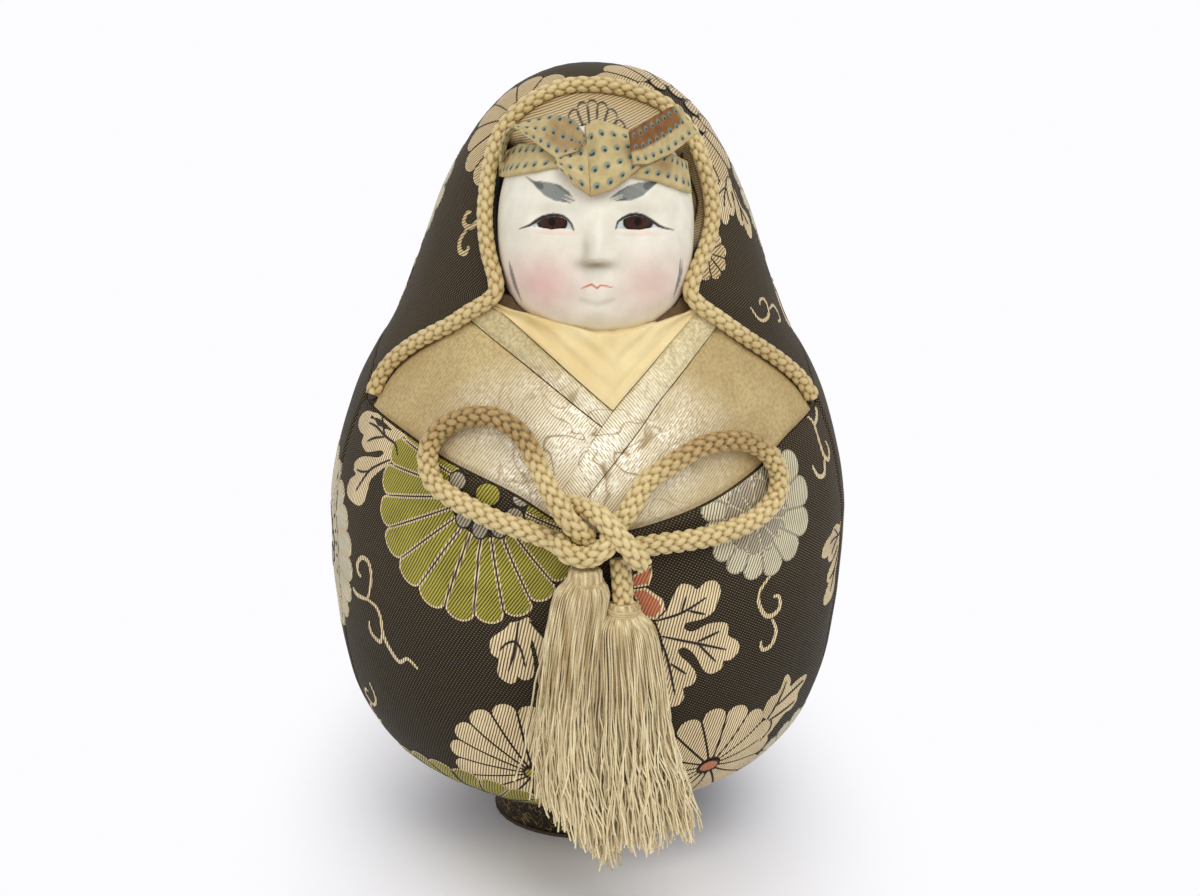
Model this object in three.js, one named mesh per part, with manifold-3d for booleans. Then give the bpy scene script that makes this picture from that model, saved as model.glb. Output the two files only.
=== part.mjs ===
// An egg-shaped doll: a moulded core covered with tucked cloth panels, a painted head set in the
// opening of its hood, braided cord round the opening, and a tied cord with two loose tassels.
// Millimetres, +Z up. The doll faces -Y, +X is on the viewer's right, and it stands on z = 0.
import * as THREE from 'three';
import { mergeVertices } from 'three/addons/utils/BufferGeometryUtils.js';
import Module from 'manifold-3d';

const wasm = await Module();
wasm.setup();

// Driving dimensions: the body, measured over its cloth
const BODY_WIDTH = 154.4;
const BODY_DEPTH = 142;
const BELLY_HEIGHT = 102;
const CHEST_RISE = 50.7;
const HOOD_RISE = 77.3;
const SHOULDER_WIDTH = 120.6;
const SHOULDER_LEAN = 35;
const BASE_FLARE_OUT = 33;
const BASE_FLARE_UP = 17.5;
const BELLY_ROUND_BELOW = 72.5;
const BELLY_ROUND_ABOVE = 6.8;
const SHOULDER_ROUND_BELOW = 21.7;
const SHOULDER_ROUND_ABOVE = 23.9;
const CROWN_ROUND = 43.5;

// Cloth, seams and fits
const CLOTH = 1;
const GAP = 0.3;
const SEAM = 0.8;
const SIDE_SEAM_Y = -20;
const BACK_SEAM_RISE = 25;

// Foot and the hollow above it
const FOOT_RADIUS = 28;
const FOOT_HEIGHT = 10;
const FOOT_PAD = 1;
const RIM_CLEARANCE = 1.2;
const SPIGOT_RADIUS = 17;
const SPIGOT_HEIGHT = 9;
const HOLLOW_RADIUS = 50;
const HOLLOW_TOP_BELOW_SHOULDER = 26;

// Hood opening, along the middle of the cord round it
const OPENING_WIDTH = 64.8;
const OPENING_BELOW_CROWN = 5.4;
const OPENING_WIDEST_RISE = 44;
const OPENING_CORNER_WIDTH = 52;
const OPENING_CORNER_RISE = 19;
const OPENING_RECESS = 6.7;
const OPENING_BACK_Y = -10;
const SHOULDER_CORD_RISE = 36.5;
const SHOULDER_CORD_SPREAD = 127;

// Head, measured over the paint; its widest line lies a little below the eyes
const HEAD_WIDTH = 54;
const HEAD_BELOW_CROWN = 40;
const HEAD_WIDEST_DROP = 4;
const HEAD_ABOVE_WIDEST = 31;
const HEAD_BELOW_WIDEST = 31;
const HEAD_SQUARENESS = 2.35;
const HEAD_SETBACK = 14;
const FACE_DEPTH = 26;
const HEAD_BACK_DEPTH = 20;
const HEAD_FIT = 0.4;
const SOCKET_FIT = 0.9;
const NOSE_LENGTH = 5;
const PEG_RADIUS = 5;
const PEG_LENGTH = 30;
const EYE_SPACING = 23;
const EYE_WIDTH = 10.4;
const EYE_OPENING = 4.8;
const EYE_RISE = 1.3;
const EYE_DEPTH = 4;
const EYE_SINK = 0.7;

// Headband of dotted cotton
const BAND_THICKNESS = 1;
const BAND_BOTTOM_RISE = 11.6;
const BAND_TOP_RISE = 18.5;
const KNOT_THICKNESS = 1.7;
const TAIL_THICKNESS = 1.4;

// Cord and tassels
const CORD_DIAMETER = 6;
const TASSEL_CLEARANCE = 5.5;
const LEFT_TASSEL_X = -2.6;
const LEFT_TASSEL_DROP = 1.5;
const LEFT_HEAD_RADIUS = 4.4;
const RIGHT_TASSEL_X = 7.5;
const RIGHT_TASSEL_DROP = 10.5;
const RIGHT_HEAD_RADIUS = 3.5;
const TAIL_RADIUS = 2.7;
const TAIL_TOP_RISE = 7;
const RIGHT_TAIL_TOP_RISE = 4;
const RIGHT_TAIL_SLANT = 1;
const BINDING_HEIGHT = 1.8;
const BINDING_THICKNESS = 0.7;

// Facets
const BODY_SEGMENTS = 36;
const PROFILE_STEPS = 7;
const HEAD_SEGMENTS = 36;
const HEAD_RINGS = 20;
const SOCKET_SEGMENTS = 20;
const SOCKET_RINGS = 12;
const CORD_SEGMENTS = 4;
const TASSEL_SIDES = 14;
const SPAN = 130;

// Heights and depths that follow from the sizes above
const SHOULDER_HEIGHT = BELLY_HEIGHT + CHEST_RISE;
const CROWN_HEIGHT = SHOULDER_HEIGHT + HOOD_RISE;
const DEPTH_RATIO = BODY_DEPTH / BODY_WIDTH;
const BASE_RADIUS = FOOT_RADIUS + RIM_CLEARANCE;
const CORE_INSET = CLOTH + GAP;
const CORD_RADIUS = CORD_DIAMETER / 2;
const CORD_LIFT = CORD_RADIUS + GAP;

// Finishes
const finish = (color, roughness, metalness = 0) =>
  new THREE.MeshStandardMaterial({ color, roughness, metalness });
const brocade = () => finish('#3d352b', 0.7, 0.1);
const lame = () => finish('#b59d6c', 0.5, 0.3);
const braid = () => finish('#d9c08a', 0.75);
const yarn = () => finish('#d8c8a0', 0.8);
const dottedCotton = () => finish('#dcc896', 0.9);

// Solids and meshes
function solidOf(geometry) {
  const bare = geometry.clone();
  bare.deleteAttribute('normal');
  bare.deleteAttribute('uv');
  const merged = mergeVertices(bare, 1e-4);
  const vertProperties = new Float32Array(merged.attributes.position.array);
  const triVerts = new Uint32Array(merged.index.array);
  return new wasm.Manifold(new wasm.Mesh({ numProp: 3, vertProperties, triVerts }));
}

function geometryOf(solid) {
  const { vertProperties, triVerts } = solid.getMesh();
  const geometry = new THREE.BufferGeometry();
  geometry.setAttribute('position', new THREE.BufferAttribute(new Float32Array(vertProperties), 3));
  geometry.setIndex(new THREE.BufferAttribute(new Uint32Array(triVerts), 1));
  geometry.computeVertexNormals();
  return geometry;
}

function piece(name, shape, material) {
  const geometry = shape.isBufferGeometry ? shape : geometryOf(shape);
  const mesh = new THREE.Mesh(geometry, material);
  mesh.name = name;
  return mesh;
}

// Body of revolution, drawn deeper or shallower than wide by the depth ratio
const vec2 = (x, y) => new THREE.Vector2(x, y);
const vec3 = (x, y, z) => new THREE.Vector3(x, y, z);

function bodyCurves() {
  const lean = THREE.MathUtils.degToRad(SHOULDER_LEAN);
  const along = vec2(-Math.sin(lean), Math.cos(lean));
  const base = vec2(BASE_RADIUS, FOOT_HEIGHT);
  const flare = vec2(BASE_RADIUS + BASE_FLARE_OUT, FOOT_HEIGHT + BASE_FLARE_UP);
  const belly = vec2(BODY_WIDTH / 2, BELLY_HEIGHT);
  const bellyLow = vec2(belly.x, BELLY_HEIGHT - BELLY_ROUND_BELOW);
  const bellyHigh = vec2(belly.x, BELLY_HEIGHT + BELLY_ROUND_ABOVE);
  const shoulder = vec2(SHOULDER_WIDTH / 2, SHOULDER_HEIGHT);
  const shoulderLow = shoulder.clone().addScaledVector(along, -SHOULDER_ROUND_BELOW);
  const shoulderHigh = shoulder.clone().addScaledVector(along, SHOULDER_ROUND_ABOVE);
  const dome = vec2(CROWN_ROUND, CROWN_HEIGHT);
  const crown = vec2(0, CROWN_HEIGHT);
  return [
    new THREE.CubicBezierCurve(base, flare, bellyLow, belly),
    new THREE.CubicBezierCurve(belly, bellyHigh, shoulderLow, shoulder),
    new THREE.CubicBezierCurve(shoulder, shoulderHigh, dome, crown),
  ];
}

// Points from the base rim to the crown, moved inwards from the cloth's face by the inset
function bodyProfile(inset, steps = PROFILE_STEPS) {
  const points = [];
  bodyCurves().forEach((curve, index) => {
    for (let i = index === 0 ? 0 : 1; i <= steps; i++) {
      const at = curve.getPoint(i / steps);
      const tangent = curve.getTangent(i / steps);
      points.push(vec2(Math.max(0, at.x - tangent.y * inset), at.y + tangent.x * inset));
    }
  });
  points[points.length - 1].x = 0;
  return points;
}

function lathe(points, depthRatio = DEPTH_RATIO) {
  const geometry = new THREE.LatheGeometry(points, BODY_SEGMENTS);
  return geometry.rotateX(Math.PI / 2).scale(1, depthRatio, 1);
}

function egg(inset) {
  const points = bodyProfile(inset);
  return solidOf(lathe([vec2(0, points[0].y), ...points]));
}

const OUTLINE = bodyProfile(0, 80);

function radiusAt(z) {
  const above = OUTLINE.findIndex((point) => point.y >= z);
  const high = OUTLINE[above];
  const low = OUTLINE[above - 1];
  return THREE.MathUtils.mapLinear(z, low.y, high.y, low.x, high.x);
}

// The point on the front of the body at (x, z), lifted along the outward normal
function onBody(x, z, lift = 0) {
  const step = 0.5;
  const radius = radiusAt(z);
  const slope = (radiusAt(z + step) - radiusAt(z - step)) / (2 * step);
  const y = -DEPTH_RATIO * Math.sqrt(radius * radius - x * x);
  const normal = vec3(x, y / (DEPTH_RATIO * DEPTH_RATIO), -radius * slope).normalize();
  return vec3(x, y, z).addScaledVector(normal, lift);
}

// Prisms that cut the cloth: outlines seen from the front run along Y, side outlines along X
function frontPrism(points, yNear, yFar) {
  const geometry = new THREE.ExtrudeGeometry(new THREE.Shape(points), {
    depth: yFar - yNear,
    bevelEnabled: false,
  });
  return solidOf(geometry.rotateX(Math.PI / 2).translate(0, yFar, 0));
}

function sidePrism(points) {
  const geometry = new THREE.ExtrudeGeometry(new THREE.Shape(points), {
    depth: 2 * SPAN,
    bevelEnabled: false,
  });
  const turn = new THREE.Matrix4().makeBasis(vec3(0, 1, 0), vec3(0, 0, 1), vec3(1, 0, 0));
  return solidOf(geometry.applyMatrix4(turn).translate(-SPAN, 0, 0));
}

const rectangle = (low, high) => [vec2(-SPAN, low), vec2(SPAN, low), vec2(SPAN, high), vec2(-SPAN, high)];

// A line moved sideways, to the left of its direction
function besideLine(points, distance) {
  return points.map((point, i) => {
    const before = points[Math.max(0, i - 1)];
    const after = points[Math.min(points.length - 1, i + 1)];
    const along = after.clone().sub(before).normalize();
    return vec2(point.x - along.y * distance, point.y + along.x * distance);
  });
}

const smooth = (points, steps) => new THREE.SplineCurve(points).getPoints(steps);
const mirrored = (points) => points.map((point) => vec2(-point.x, point.y)).reverse();

// The cord's line from the right side seam, over the shoulder and round the opening, to the left
const SHOULDER_END = vec2(SHOULDER_CORD_SPREAD / 2, BELLY_HEIGHT + SHOULDER_CORD_RISE);
const OPENING_TOP = CROWN_HEIGHT - OPENING_BELOW_CROWN;

function hoodLineRight() {
  const corner = vec2(OPENING_CORNER_WIDTH / 2, SHOULDER_HEIGHT + OPENING_CORNER_RISE);
  const widest = vec2(OPENING_WIDTH / 2, SHOULDER_HEIGHT + OPENING_WIDEST_RISE);
  const shoulder = new THREE.CubicBezierCurve(
    SHOULDER_END,
    vec2(SHOULDER_END.x - 10, SHOULDER_END.y + 14),
    vec2(corner.x + 17, corner.y - 11),
    vec2(corner.x + 2.2, corner.y - 3.2),
  );
  const side = new THREE.CubicBezierCurve(
    corner,
    vec2(corner.x + 1.5, corner.y + 7),
    vec2(widest.x, widest.y - 9),
    widest,
  );
  const arch = new THREE.CubicBezierCurve(
    widest,
    vec2(widest.x, widest.y + 16),
    vec2(widest.x * 0.55, OPENING_TOP),
    vec2(0, OPENING_TOP),
  );
  return [...shoulder.getPoints(7), ...side.getPoints(5), ...arch.getPoints(9).slice(1)];
}

const HOOD_LINE = [...hoodLineRight(), ...mirrored(hoodLineRight()).slice(1)];

function underHoodLine(outward) {
  const line = besideLine(HOOD_LINE, -outward);
  const first = line[0];
  const last = line[line.length - 1];
  return [
    ...line,
    vec2(-SPAN, last.y),
    vec2(-SPAN, -SPAN),
    vec2(SPAN, -SPAN),
    vec2(SPAN, first.y),
  ];
}

// Lower edge of the chest cloth, from left to right; heights are above the belly line
const CHEST_EDGE = smooth(
  [
    [-66, 34.5], [-53, 30.4], [-40.9, 25.6], [-22.6, 19.2], [-9.3, 12.2], [1.3, 9.4],
    [12.4, 10.7], [29.7, 15.8], [44.2, 22.7], [54.5, 29.8], [66, 34.5],
  ].map(([x, rise]) => vec2(x, BELLY_HEIGHT + rise)),
  24,
);

function belowChestEdge(outward) {
  const line = besideLine(CHEST_EDGE, outward);
  return [
    vec2(-SPAN, line[0].y),
    ...line,
    vec2(SPAN, line[line.length - 1].y),
    vec2(SPAN, -SPAN),
    vec2(-SPAN, -SPAN),
  ];
}

// Edges of the two collar bands, from the neck down; heights are above the belly line
const fromBelly = (points) => points.map(([x, rise]) => vec2(x, BELLY_HEIGHT + rise));
const LEFT_BAND_INNER = fromBelly([[-44, 77.5], [-17.7, 57.9], [11, 35.5]]);
const LEFT_BAND_OUTER = fromBelly([[-49, 69.5], [-25.8, 55.3], [-13.9, 47.7], [8, 32]]);
const RIGHT_BAND_INNER = fromBelly([[42, 79], [17.2, 53.9], [4.2, 40.3], [-5.5, 25.8], [-16, 8]]);
const RIGHT_BAND_OUTER = fromBelly([[48, 74], [19.5, 45.3], [11.7, 35.8], [-3.6, 16.9], [-12, 5]]);

function besideBand(line, side, outward) {
  const edge = besideLine(line, -side * outward);
  const foot = edge[edge.length - 1];
  return [...edge, vec2(foot.x, -SPAN), vec2(side * SPAN, -SPAN), vec2(side * SPAN, edge[0].y)];
}

const leftOfLine = (line, outward) => besideBand(line, -1, outward);
const rightOfLine = (line, outward) => besideBand(line, 1, outward);

// Seam between hood and back, seen from the side
function aboveBackSeam(outward) {
  const start = vec2(SIDE_SEAM_Y - SEAM, SHOULDER_END.y);
  const top = SHOULDER_END.y + BACK_SEAM_RISE;
  const curve = new THREE.CubicBezierCurve(
    start,
    vec2(start.x + 14, start.y + 18),
    vec2(start.x + 36, top),
    vec2(SPAN, top),
  );
  const line = curve.getPoints(10).map((point) => vec2(point.x, point.y - outward));
  return [...line, vec2(SPAN, 2 * SPAN), vec2(start.x, 2 * SPAN)];
}

// Head: a ball with a flatter, fuller lower face, sculpted along -Y
const HEAD_HEIGHT_AT = CROWN_HEIGHT - HEAD_BELOW_CROWN;
const HEAD_PLACE = vec3(0, onBody(0, HEAD_HEIGHT_AT).y + HEAD_SETBACK, HEAD_HEIGHT_AT);
const bump = (x, z, width, height) => Math.exp(-((x / width) ** 2) - (z / height) ** 2);

function faceRelief(x, z) {
  const side = Math.abs(x);
  const bridge = THREE.MathUtils.smoothstep(-z, -9, 7) * (z > -7 ? 1 : bump(0, z + 7, 1, 2.2));
  const nose = NOSE_LENGTH * bridge * bump(x, 0, 3.1, 1);
  const mouth = 1.6 * bump(x, z + 16, 7, 4);
  const chin = 2.4 * bump(x, z + 23, 8, 4.5);
  const cheek = 1.2 * bump(side - 15, z + 11, 7, 9);
  const socket = -1.1 * bump(side - EYE_SPACING / 2, z - EYE_RISE - 1, 6, 3.5);
  return nose + mouth + chin + cheek + socket;
}

function headGeometry(grow, segments = HEAD_SEGMENTS, rings = HEAD_RINGS) {
  const profile = [];
  for (let i = 0; i <= rings; i++) {
    const turn = -Math.PI / 2 + (i / rings) * Math.PI;
    profile.push(vec2(i % rings === 0 ? 0 : Math.cos(turn), Math.sin(turn)));
  }
  const geometry = new THREE.LatheGeometry(profile, segments);
  const position = geometry.attributes.position;
  for (let i = 0; i < position.count; i++) {
    const unit = vec3().fromBufferAttribute(position, i);
    const rim = Math.min(1, Math.hypot(unit.x, unit.z));
    const squared = Math.abs(unit.x) ** HEAD_SQUARENESS + Math.abs(unit.z) ** HEAD_SQUARENESS;
    const spread = rim > 0 ? rim / squared ** (1 / HEAD_SQUARENESS) : 1;
    const reach = unit.z > 0 ? HEAD_ABOVE_WIDEST : HEAD_BELOW_WIDEST;
    const x = unit.x * spread * (HEAD_WIDTH / 2 + grow);
    const z = unit.z * spread * (reach + grow) - HEAD_WIDEST_DROP;
    const fullness = THREE.MathUtils.mapLinear(unit.z, -1, 1, 3.2, 2.3);
    const front = (1 - rim ** fullness) ** (1 / fullness);
    const back = Math.sqrt(1 - rim * rim);
    const y = unit.y < 0
      ? -(FACE_DEPTH + grow) * front - faceRelief(x, z) * Math.min(1, 4 * back * back)
      : (HEAD_BACK_DEPTH + grow) * back;
    position.setXYZ(i, x, y, z);
  }
  return geometry;
}

const headSolid = (grow) => solidOf(headGeometry(grow));
const headInBody = (grow) => solidOf(
  headGeometry(grow).translate(HEAD_PLACE.x, HEAD_PLACE.y, HEAD_PLACE.z),
);
const socketInBody = (grow) => solidOf(
  headGeometry(grow, SOCKET_SEGMENTS, SOCKET_RINGS)
    .translate(HEAD_PLACE.x, HEAD_PLACE.y, HEAD_PLACE.z),
);

// Dowel along Y, from inside the back of the head into the core
function peg(radius, extra) {
  const geometry = new THREE.CylinderGeometry(radius, radius, PEG_LENGTH + 2 * extra, 16);
  return geometry.translate(0, HEAD_BACK_DEPTH, 0);
}

const pegInBody = (radius, extra) => solidOf(
  peg(radius, extra).translate(HEAD_PLACE.x, HEAD_PLACE.y, HEAD_PLACE.z),
);

// Eye opening: two curves meeting at the corners of the eye
function eyePrism(side, shrink, yNear, yFar) {
  const half = EYE_WIDTH / 2 - shrink;
  const rise = EYE_OPENING / 2 - shrink;
  const centre = vec2((side * EYE_SPACING) / 2, EYE_RISE);
  const upper = new THREE.QuadraticBezierCurve(vec2(-half, 0), vec2(0, 2 * rise), vec2(half, 0));
  const lower = new THREE.QuadraticBezierCurve(vec2(half, 0), vec2(0, -2 * rise), vec2(-half, 0));
  const outline = [...upper.getPoints(8), ...lower.getPoints(8).slice(1, -1)];
  return frontPrism(outline.map((point) => point.add(centre)), yNear, yFar);
}

const EYE_FLOOR_Y = -FACE_DEPTH + EYE_DEPTH;

function buildHead() {
  const group = new THREE.Group();
  group.position.copy(HEAD_PLACE);
  let head = headSolid(0).subtract(solidOf(peg(PEG_RADIUS + GAP, GAP)));
  for (const side of [-1, 1]) {
    head = head.subtract(eyePrism(side, 0, -SPAN, EYE_FLOOR_Y));
  }
  group.add(piece('head', head, finish('#ece7e4', 0.55)));
  group.add(piece('neck_peg', peg(PEG_RADIUS, 0), finish('#c9a877', 0.8)));
  for (const [name, side] of [['left_eye', -1], ['right_eye', 1]]) {
    const eye = eyePrism(side, GAP, -SPAN, EYE_FLOOR_Y - GAP).intersect(headSolid(-EYE_SINK));
    group.add(piece(name, eye, finish('#3a201a', 0.15)));
  }
  group.add(...buildHeadband());
  return group;
}

// Headband: a strip on the forehead, a folded diamond over it and two cut ends
const KNOT_OUTLINE = [[-2.8, 27.6], [8.1, 24.2], [8.5, 16.7], [-1.4, 7.4], [-10.9, 16.8]];
const KNOT_MIDDLE = vec2(0, 17);
const RIGHT_END_ROOT = vec3(6, -24.5, 17);
const RIGHT_END_TIP = vec3(24.5, -6.5, 29);
const RIGHT_END_EDGE = vec3(4, -23.5, 26);
const RIGHT_END_OUTLINE = [[-2, -5], [27, -4.2], [26, 5.5], [0, 6.5]];
const LEFT_END_ROOT = vec3(-5, -24.5, 18);
const LEFT_END_TIP = vec3(-20, -11, 27);
const LEFT_END_EDGE = vec3(-3, -22, 26);
const LEFT_END_OUTLINE = [[2, -5], [21, -1.5], [20, 3.2], [12, 6.8], [0, 5]];

function headLayer(inner, thickness) {
  return headSolid(inner + thickness).subtract(headSolid(inner));
}

function knotPrism(outward) {
  const corners = KNOT_OUTLINE.map(([x, z]) => {
    const arm = vec2(x, z).sub(KNOT_MIDDLE);
    return arm.setLength(arm.length() + outward).add(KNOT_MIDDLE);
  });
  return frontPrism(corners, -SPAN, 0);
}

// A flat cut end of cloth through three points, its outline given along and across it
function clothEnd(root, tip, edge, outline) {
  const along = tip.clone().sub(root).normalize();
  const facing = vec3().crossVectors(along, edge.clone().sub(root)).normalize();
  const across = vec3().crossVectors(facing, along);
  const geometry = new THREE.ExtrudeGeometry(
    new THREE.Shape(outline.map(([x, y]) => vec2(x, y))),
    { depth: TAIL_THICKNESS, bevelEnabled: false },
  );
  const place = new THREE.Matrix4().makeBasis(along, across, facing).setPosition(root);
  return solidOf(geometry.applyMatrix4(place));
}

function buildHeadband() {
  const band = headLayer(GAP, BAND_THICKNESS).intersect(
    frontPrism(rectangle(BAND_BOTTOM_RISE, BAND_TOP_RISE), -SPAN, -BAND_THICKNESS),
  );
  const knotInset = 2 * GAP + BAND_THICKNESS;
  const knot = headLayer(knotInset, KNOT_THICKNESS).intersect(knotPrism(0));
  const clear = knotPrism(2 * GAP).add(headSolid(knotInset));
  const right = clothEnd(RIGHT_END_ROOT, RIGHT_END_TIP, RIGHT_END_EDGE, RIGHT_END_OUTLINE);
  const left = clothEnd(LEFT_END_ROOT, LEFT_END_TIP, LEFT_END_EDGE, LEFT_END_OUTLINE);
  return [
    piece('headband_band', band, dottedCotton()),
    piece('headband_knot', knot, dottedCotton()),
    piece('headband_left_tail', left.subtract(clear), dottedCotton()),
    piece('headband_right_tail', right.subtract(clear), dottedCotton()),
  ];
}

// Core, with the recess of the opening, the head's socket, the peg's hole and the hollow
const OPENING_SILL = SHOULDER_HEIGHT + OPENING_CORNER_RISE - 2;

function openingPrism(outward) {
  const above = rectangle(OPENING_SILL, 2 * SPAN);
  const line = frontPrism(underHoodLine(outward), -SPAN, OPENING_BACK_Y + outward);
  return line.intersect(frontPrism(above, -SPAN, 0));
}

const CORE_BOTTOM = bodyProfile(CORE_INSET)[0].y;
const SPIGOT_TOP = CORE_BOTTOM + SPIGOT_HEIGHT;

function hollow() {
  const mouth = SPIGOT_RADIUS + GAP;
  const top = SHOULDER_HEIGHT - HOLLOW_TOP_BELOW_SHOULDER;
  const start = vec2(mouth, SPIGOT_TOP + GAP);
  const widest = vec2(HOLLOW_RADIUS, (start.y + top) / 2);
  const lower = new THREE.QuadraticBezierCurve(start, vec2(widest.x, start.y), widest);
  const upper = new THREE.QuadraticBezierCurve(widest, vec2(widest.x, top), vec2(0, top));
  return solidOf(lathe([
    vec2(0, 0),
    vec2(mouth, 0),
    ...lower.getPoints(6),
    ...upper.getPoints(6).slice(1),
  ]));
}

function buildCore() {
  const recess = openingPrism(-SEAM / 2).subtract(egg(OPENING_RECESS + GAP));
  const core = egg(CORE_INSET)
    .subtract(recess)
    .subtract(socketInBody(SOCKET_FIT))
    .subtract(pegInBody(PEG_RADIUS + GAP, GAP))
    .subtract(hollow());
  return piece('body_core', core, finish('#a98c66', 0.95));
}

// Foot: a disc with a spigot, a strip of cloth round it and a paper pad below it
function buildFoot() {
  const group = new THREE.Group();
  const blockRadius = FOOT_RADIUS - CLOTH - GAP;
  const bottom = FOOT_PAD + GAP;
  const top = CORE_BOTTOM - GAP;
  const block = lathe([
    vec2(0, bottom),
    vec2(blockRadius, bottom),
    vec2(blockRadius, top),
    vec2(SPIGOT_RADIUS, top),
    vec2(SPIGOT_RADIUS, SPIGOT_TOP),
    vec2(0, SPIGOT_TOP),
  ]);
  const inner = FOOT_RADIUS - CLOTH;
  const cover = lathe([
    vec2(inner, bottom),
    vec2(FOOT_RADIUS, bottom),
    vec2(FOOT_RADIUS, top),
    vec2(inner, top),
    vec2(inner, bottom),
  ]);
  const pad = lathe([vec2(0, 0), vec2(FOOT_RADIUS, 0), vec2(FOOT_RADIUS, FOOT_PAD), vec2(0, FOOT_PAD)]);
  group.add(piece('foot_block', block, finish('#b08d5e', 0.8)));
  group.add(piece('foot_cover', cover, brocade()));
  group.add(piece('foot_pad', pad, finish('#8a6f4d', 0.95)));
  return group;
}

// Cloth panels: pieces of one shell, parted by the tucked seams
function footHole() {
  const radius = FOOT_RADIUS + GAP;
  return solidOf(lathe([vec2(0, 0), vec2(radius, 0), vec2(radius, 2 * FOOT_HEIGHT), vec2(0, 2 * FOOT_HEIGHT)]));
}

function buildCloth() {
  const group = new THREE.Group();
  const shell = egg(0).subtract(egg(CLOTH)).subtract(footHole());
  const half = SEAM / 2;
  const everywhere = rectangle(-SPAN, 2 * SPAN);
  const front = shell.intersect(frontPrism(everywhere, -SPAN, SIDE_SEAM_Y - half));
  const facing = (points) => frontPrism(points, -SPAN, SPAN);
  const hoodFront = front.subtract(facing(underHoodLine(half)));
  const hoodBack = shell.intersect(sidePrism(aboveBackSeam(-half)));
  group.add(piece('hood_panel', hoodFront.add(hoodBack), brocade()));

  const behind = frontPrism(everywhere, SIDE_SEAM_Y + half, SPAN);
  const back = shell.intersect(behind).subtract(sidePrism(aboveBackSeam(half)));
  group.add(piece('back_panel', back, brocade()));

  const lowerFront = front.intersect(facing(belowChestEdge(-half)));
  group.add(piece('front_panel', lowerFront, brocade()));

  const chest = front
    .intersect(facing(underHoodLine(-half)))
    .subtract(facing(belowChestEdge(half)))
    .subtract(openingPrism(SEAM))
    .subtract(headInBody(HEAD_FIT));
  const leftSide = chest.subtract(facing(rightOfLine(RIGHT_BAND_INNER, half)));
  const parts = {
    chest_left_panel: leftSide.intersect(facing(leftOfLine(LEFT_BAND_OUTER, -half))),
    chest_right_panel: chest.intersect(facing(rightOfLine(RIGHT_BAND_OUTER, -half))),
    collar_left_band: leftSide
      .intersect(facing(leftOfLine(LEFT_BAND_INNER, -half)))
      .subtract(facing(leftOfLine(LEFT_BAND_OUTER, half))),
    collar_right_band: chest
      .intersect(facing(rightOfLine(RIGHT_BAND_INNER, -half)))
      .subtract(facing(rightOfLine(RIGHT_BAND_OUTER, half))),
  };
  for (const [name, solid] of Object.entries(parts)) {
    group.add(piece(name, solid, lame()));
  }
  const inner = leftSide.subtract(facing(leftOfLine(LEFT_BAND_INNER, half)));
  group.add(piece('inner_collar', inner, finish('#ecd9a8', 0.85)));

  const tray = openingPrism(-SEAM / 2 - GAP).subtract(egg(OPENING_RECESS));
  const insideTray = openingPrism(-SEAM / 2 - GAP - CLOTH).subtract(egg(OPENING_RECESS - CLOTH));
  const lined = tray
    .intersect(egg(CLOTH + GAP))
    .subtract(insideTray)
    .subtract(socketInBody(BAND_THICKNESS + SOCKET_FIT));
  const [lining] = lined.decompose().sort((a, b) => b.volume() - a.volume());
  group.add(piece('hood_lining', lining, finish('#8d7347', 0.6, 0.2)));
  return group;
}

// Cord: round tube along points on the body
function cordAlong(points, steps, radius = CORD_RADIUS) {
  const section = new THREE.Shape();
  section.absarc(0, 0, radius, 0, 2 * Math.PI);
  return new THREE.ExtrudeGeometry(section, {
    steps,
    curveSegments: CORD_SEGMENTS,
    bevelEnabled: false,
    extrudePath: new THREE.CatmullRomCurve3(points),
  });
}

function buildHoodCord() {
  const points = HOOD_LINE.map((point) => onBody(point.x, point.y, CORD_LIFT));
  return piece('hood_cord', cordAlong(points, 64), braid());
}

// Routes of the bow's loops: across, and above the belly line
const LEFT_LOOP = [
  [-7.2, 14.2], [-10.9, 20], [-14.5, 26.4], [-18.5, 33], [-24.6, 36.9], [-31.8, 37.2], [-39, 33.9],
  [-43, 27.7], [-41.8, 21.5], [-36.2, 18.2], [-26.2, 13.8], [-16.4, 10.7], [-9.5, 7.6],
];
const RIGHT_LOOP = [
  [8, 14.8], [12.6, 22.4], [19.2, 28.3], [26.8, 31.9], [35.5, 32.6], [42.6, 29.9], [47, 25.8],
  [49, 20.5], [47.4, 14.9], [41.9, 10.7], [33.7, 8.4], [24.9, 7.4], [13.4, 7.2],
];
const KNOT_TURN = [[-9.5, 8.4], [-6.5, 5.8], [-2.2, 5], [1.6, 6.8], [3.4, 9.4]];
const KNOT_WRAP = [[-1.5, 16.5], [2.4, 13.2], [6.6, 8.4], [10.2, 3.6], [11.8, 0.6]];

const onChest = (route, lift) => route.map(([x, rise]) => onBody(x, BELLY_HEIGHT + rise, lift));

function buildBow() {
  const group = new THREE.Group();
  const over = CORD_LIFT + CORD_DIAMETER + 2 * GAP;
  const wrap = solidOf(cordAlong(onChest(KNOT_WRAP, over), 8));
  const nearWrap = solidOf(cordAlong(onChest(KNOT_WRAP, over), 8, CORD_RADIUS + GAP));
  const turn = solidOf(cordAlong(onChest(KNOT_TURN, over), 10));
  group.add(piece('bow_left_loop', cordAlong(onChest(LEFT_LOOP, CORD_LIFT), 32), braid()));
  group.add(piece('bow_right_loop', cordAlong(onChest(RIGHT_LOOP, CORD_LIFT), 32), braid()));
  group.add(piece('knot_turn', turn.subtract(nearWrap), braid()));
  group.add(piece('knot_wrap', wrap, braid()));
  return group;
}

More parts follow.
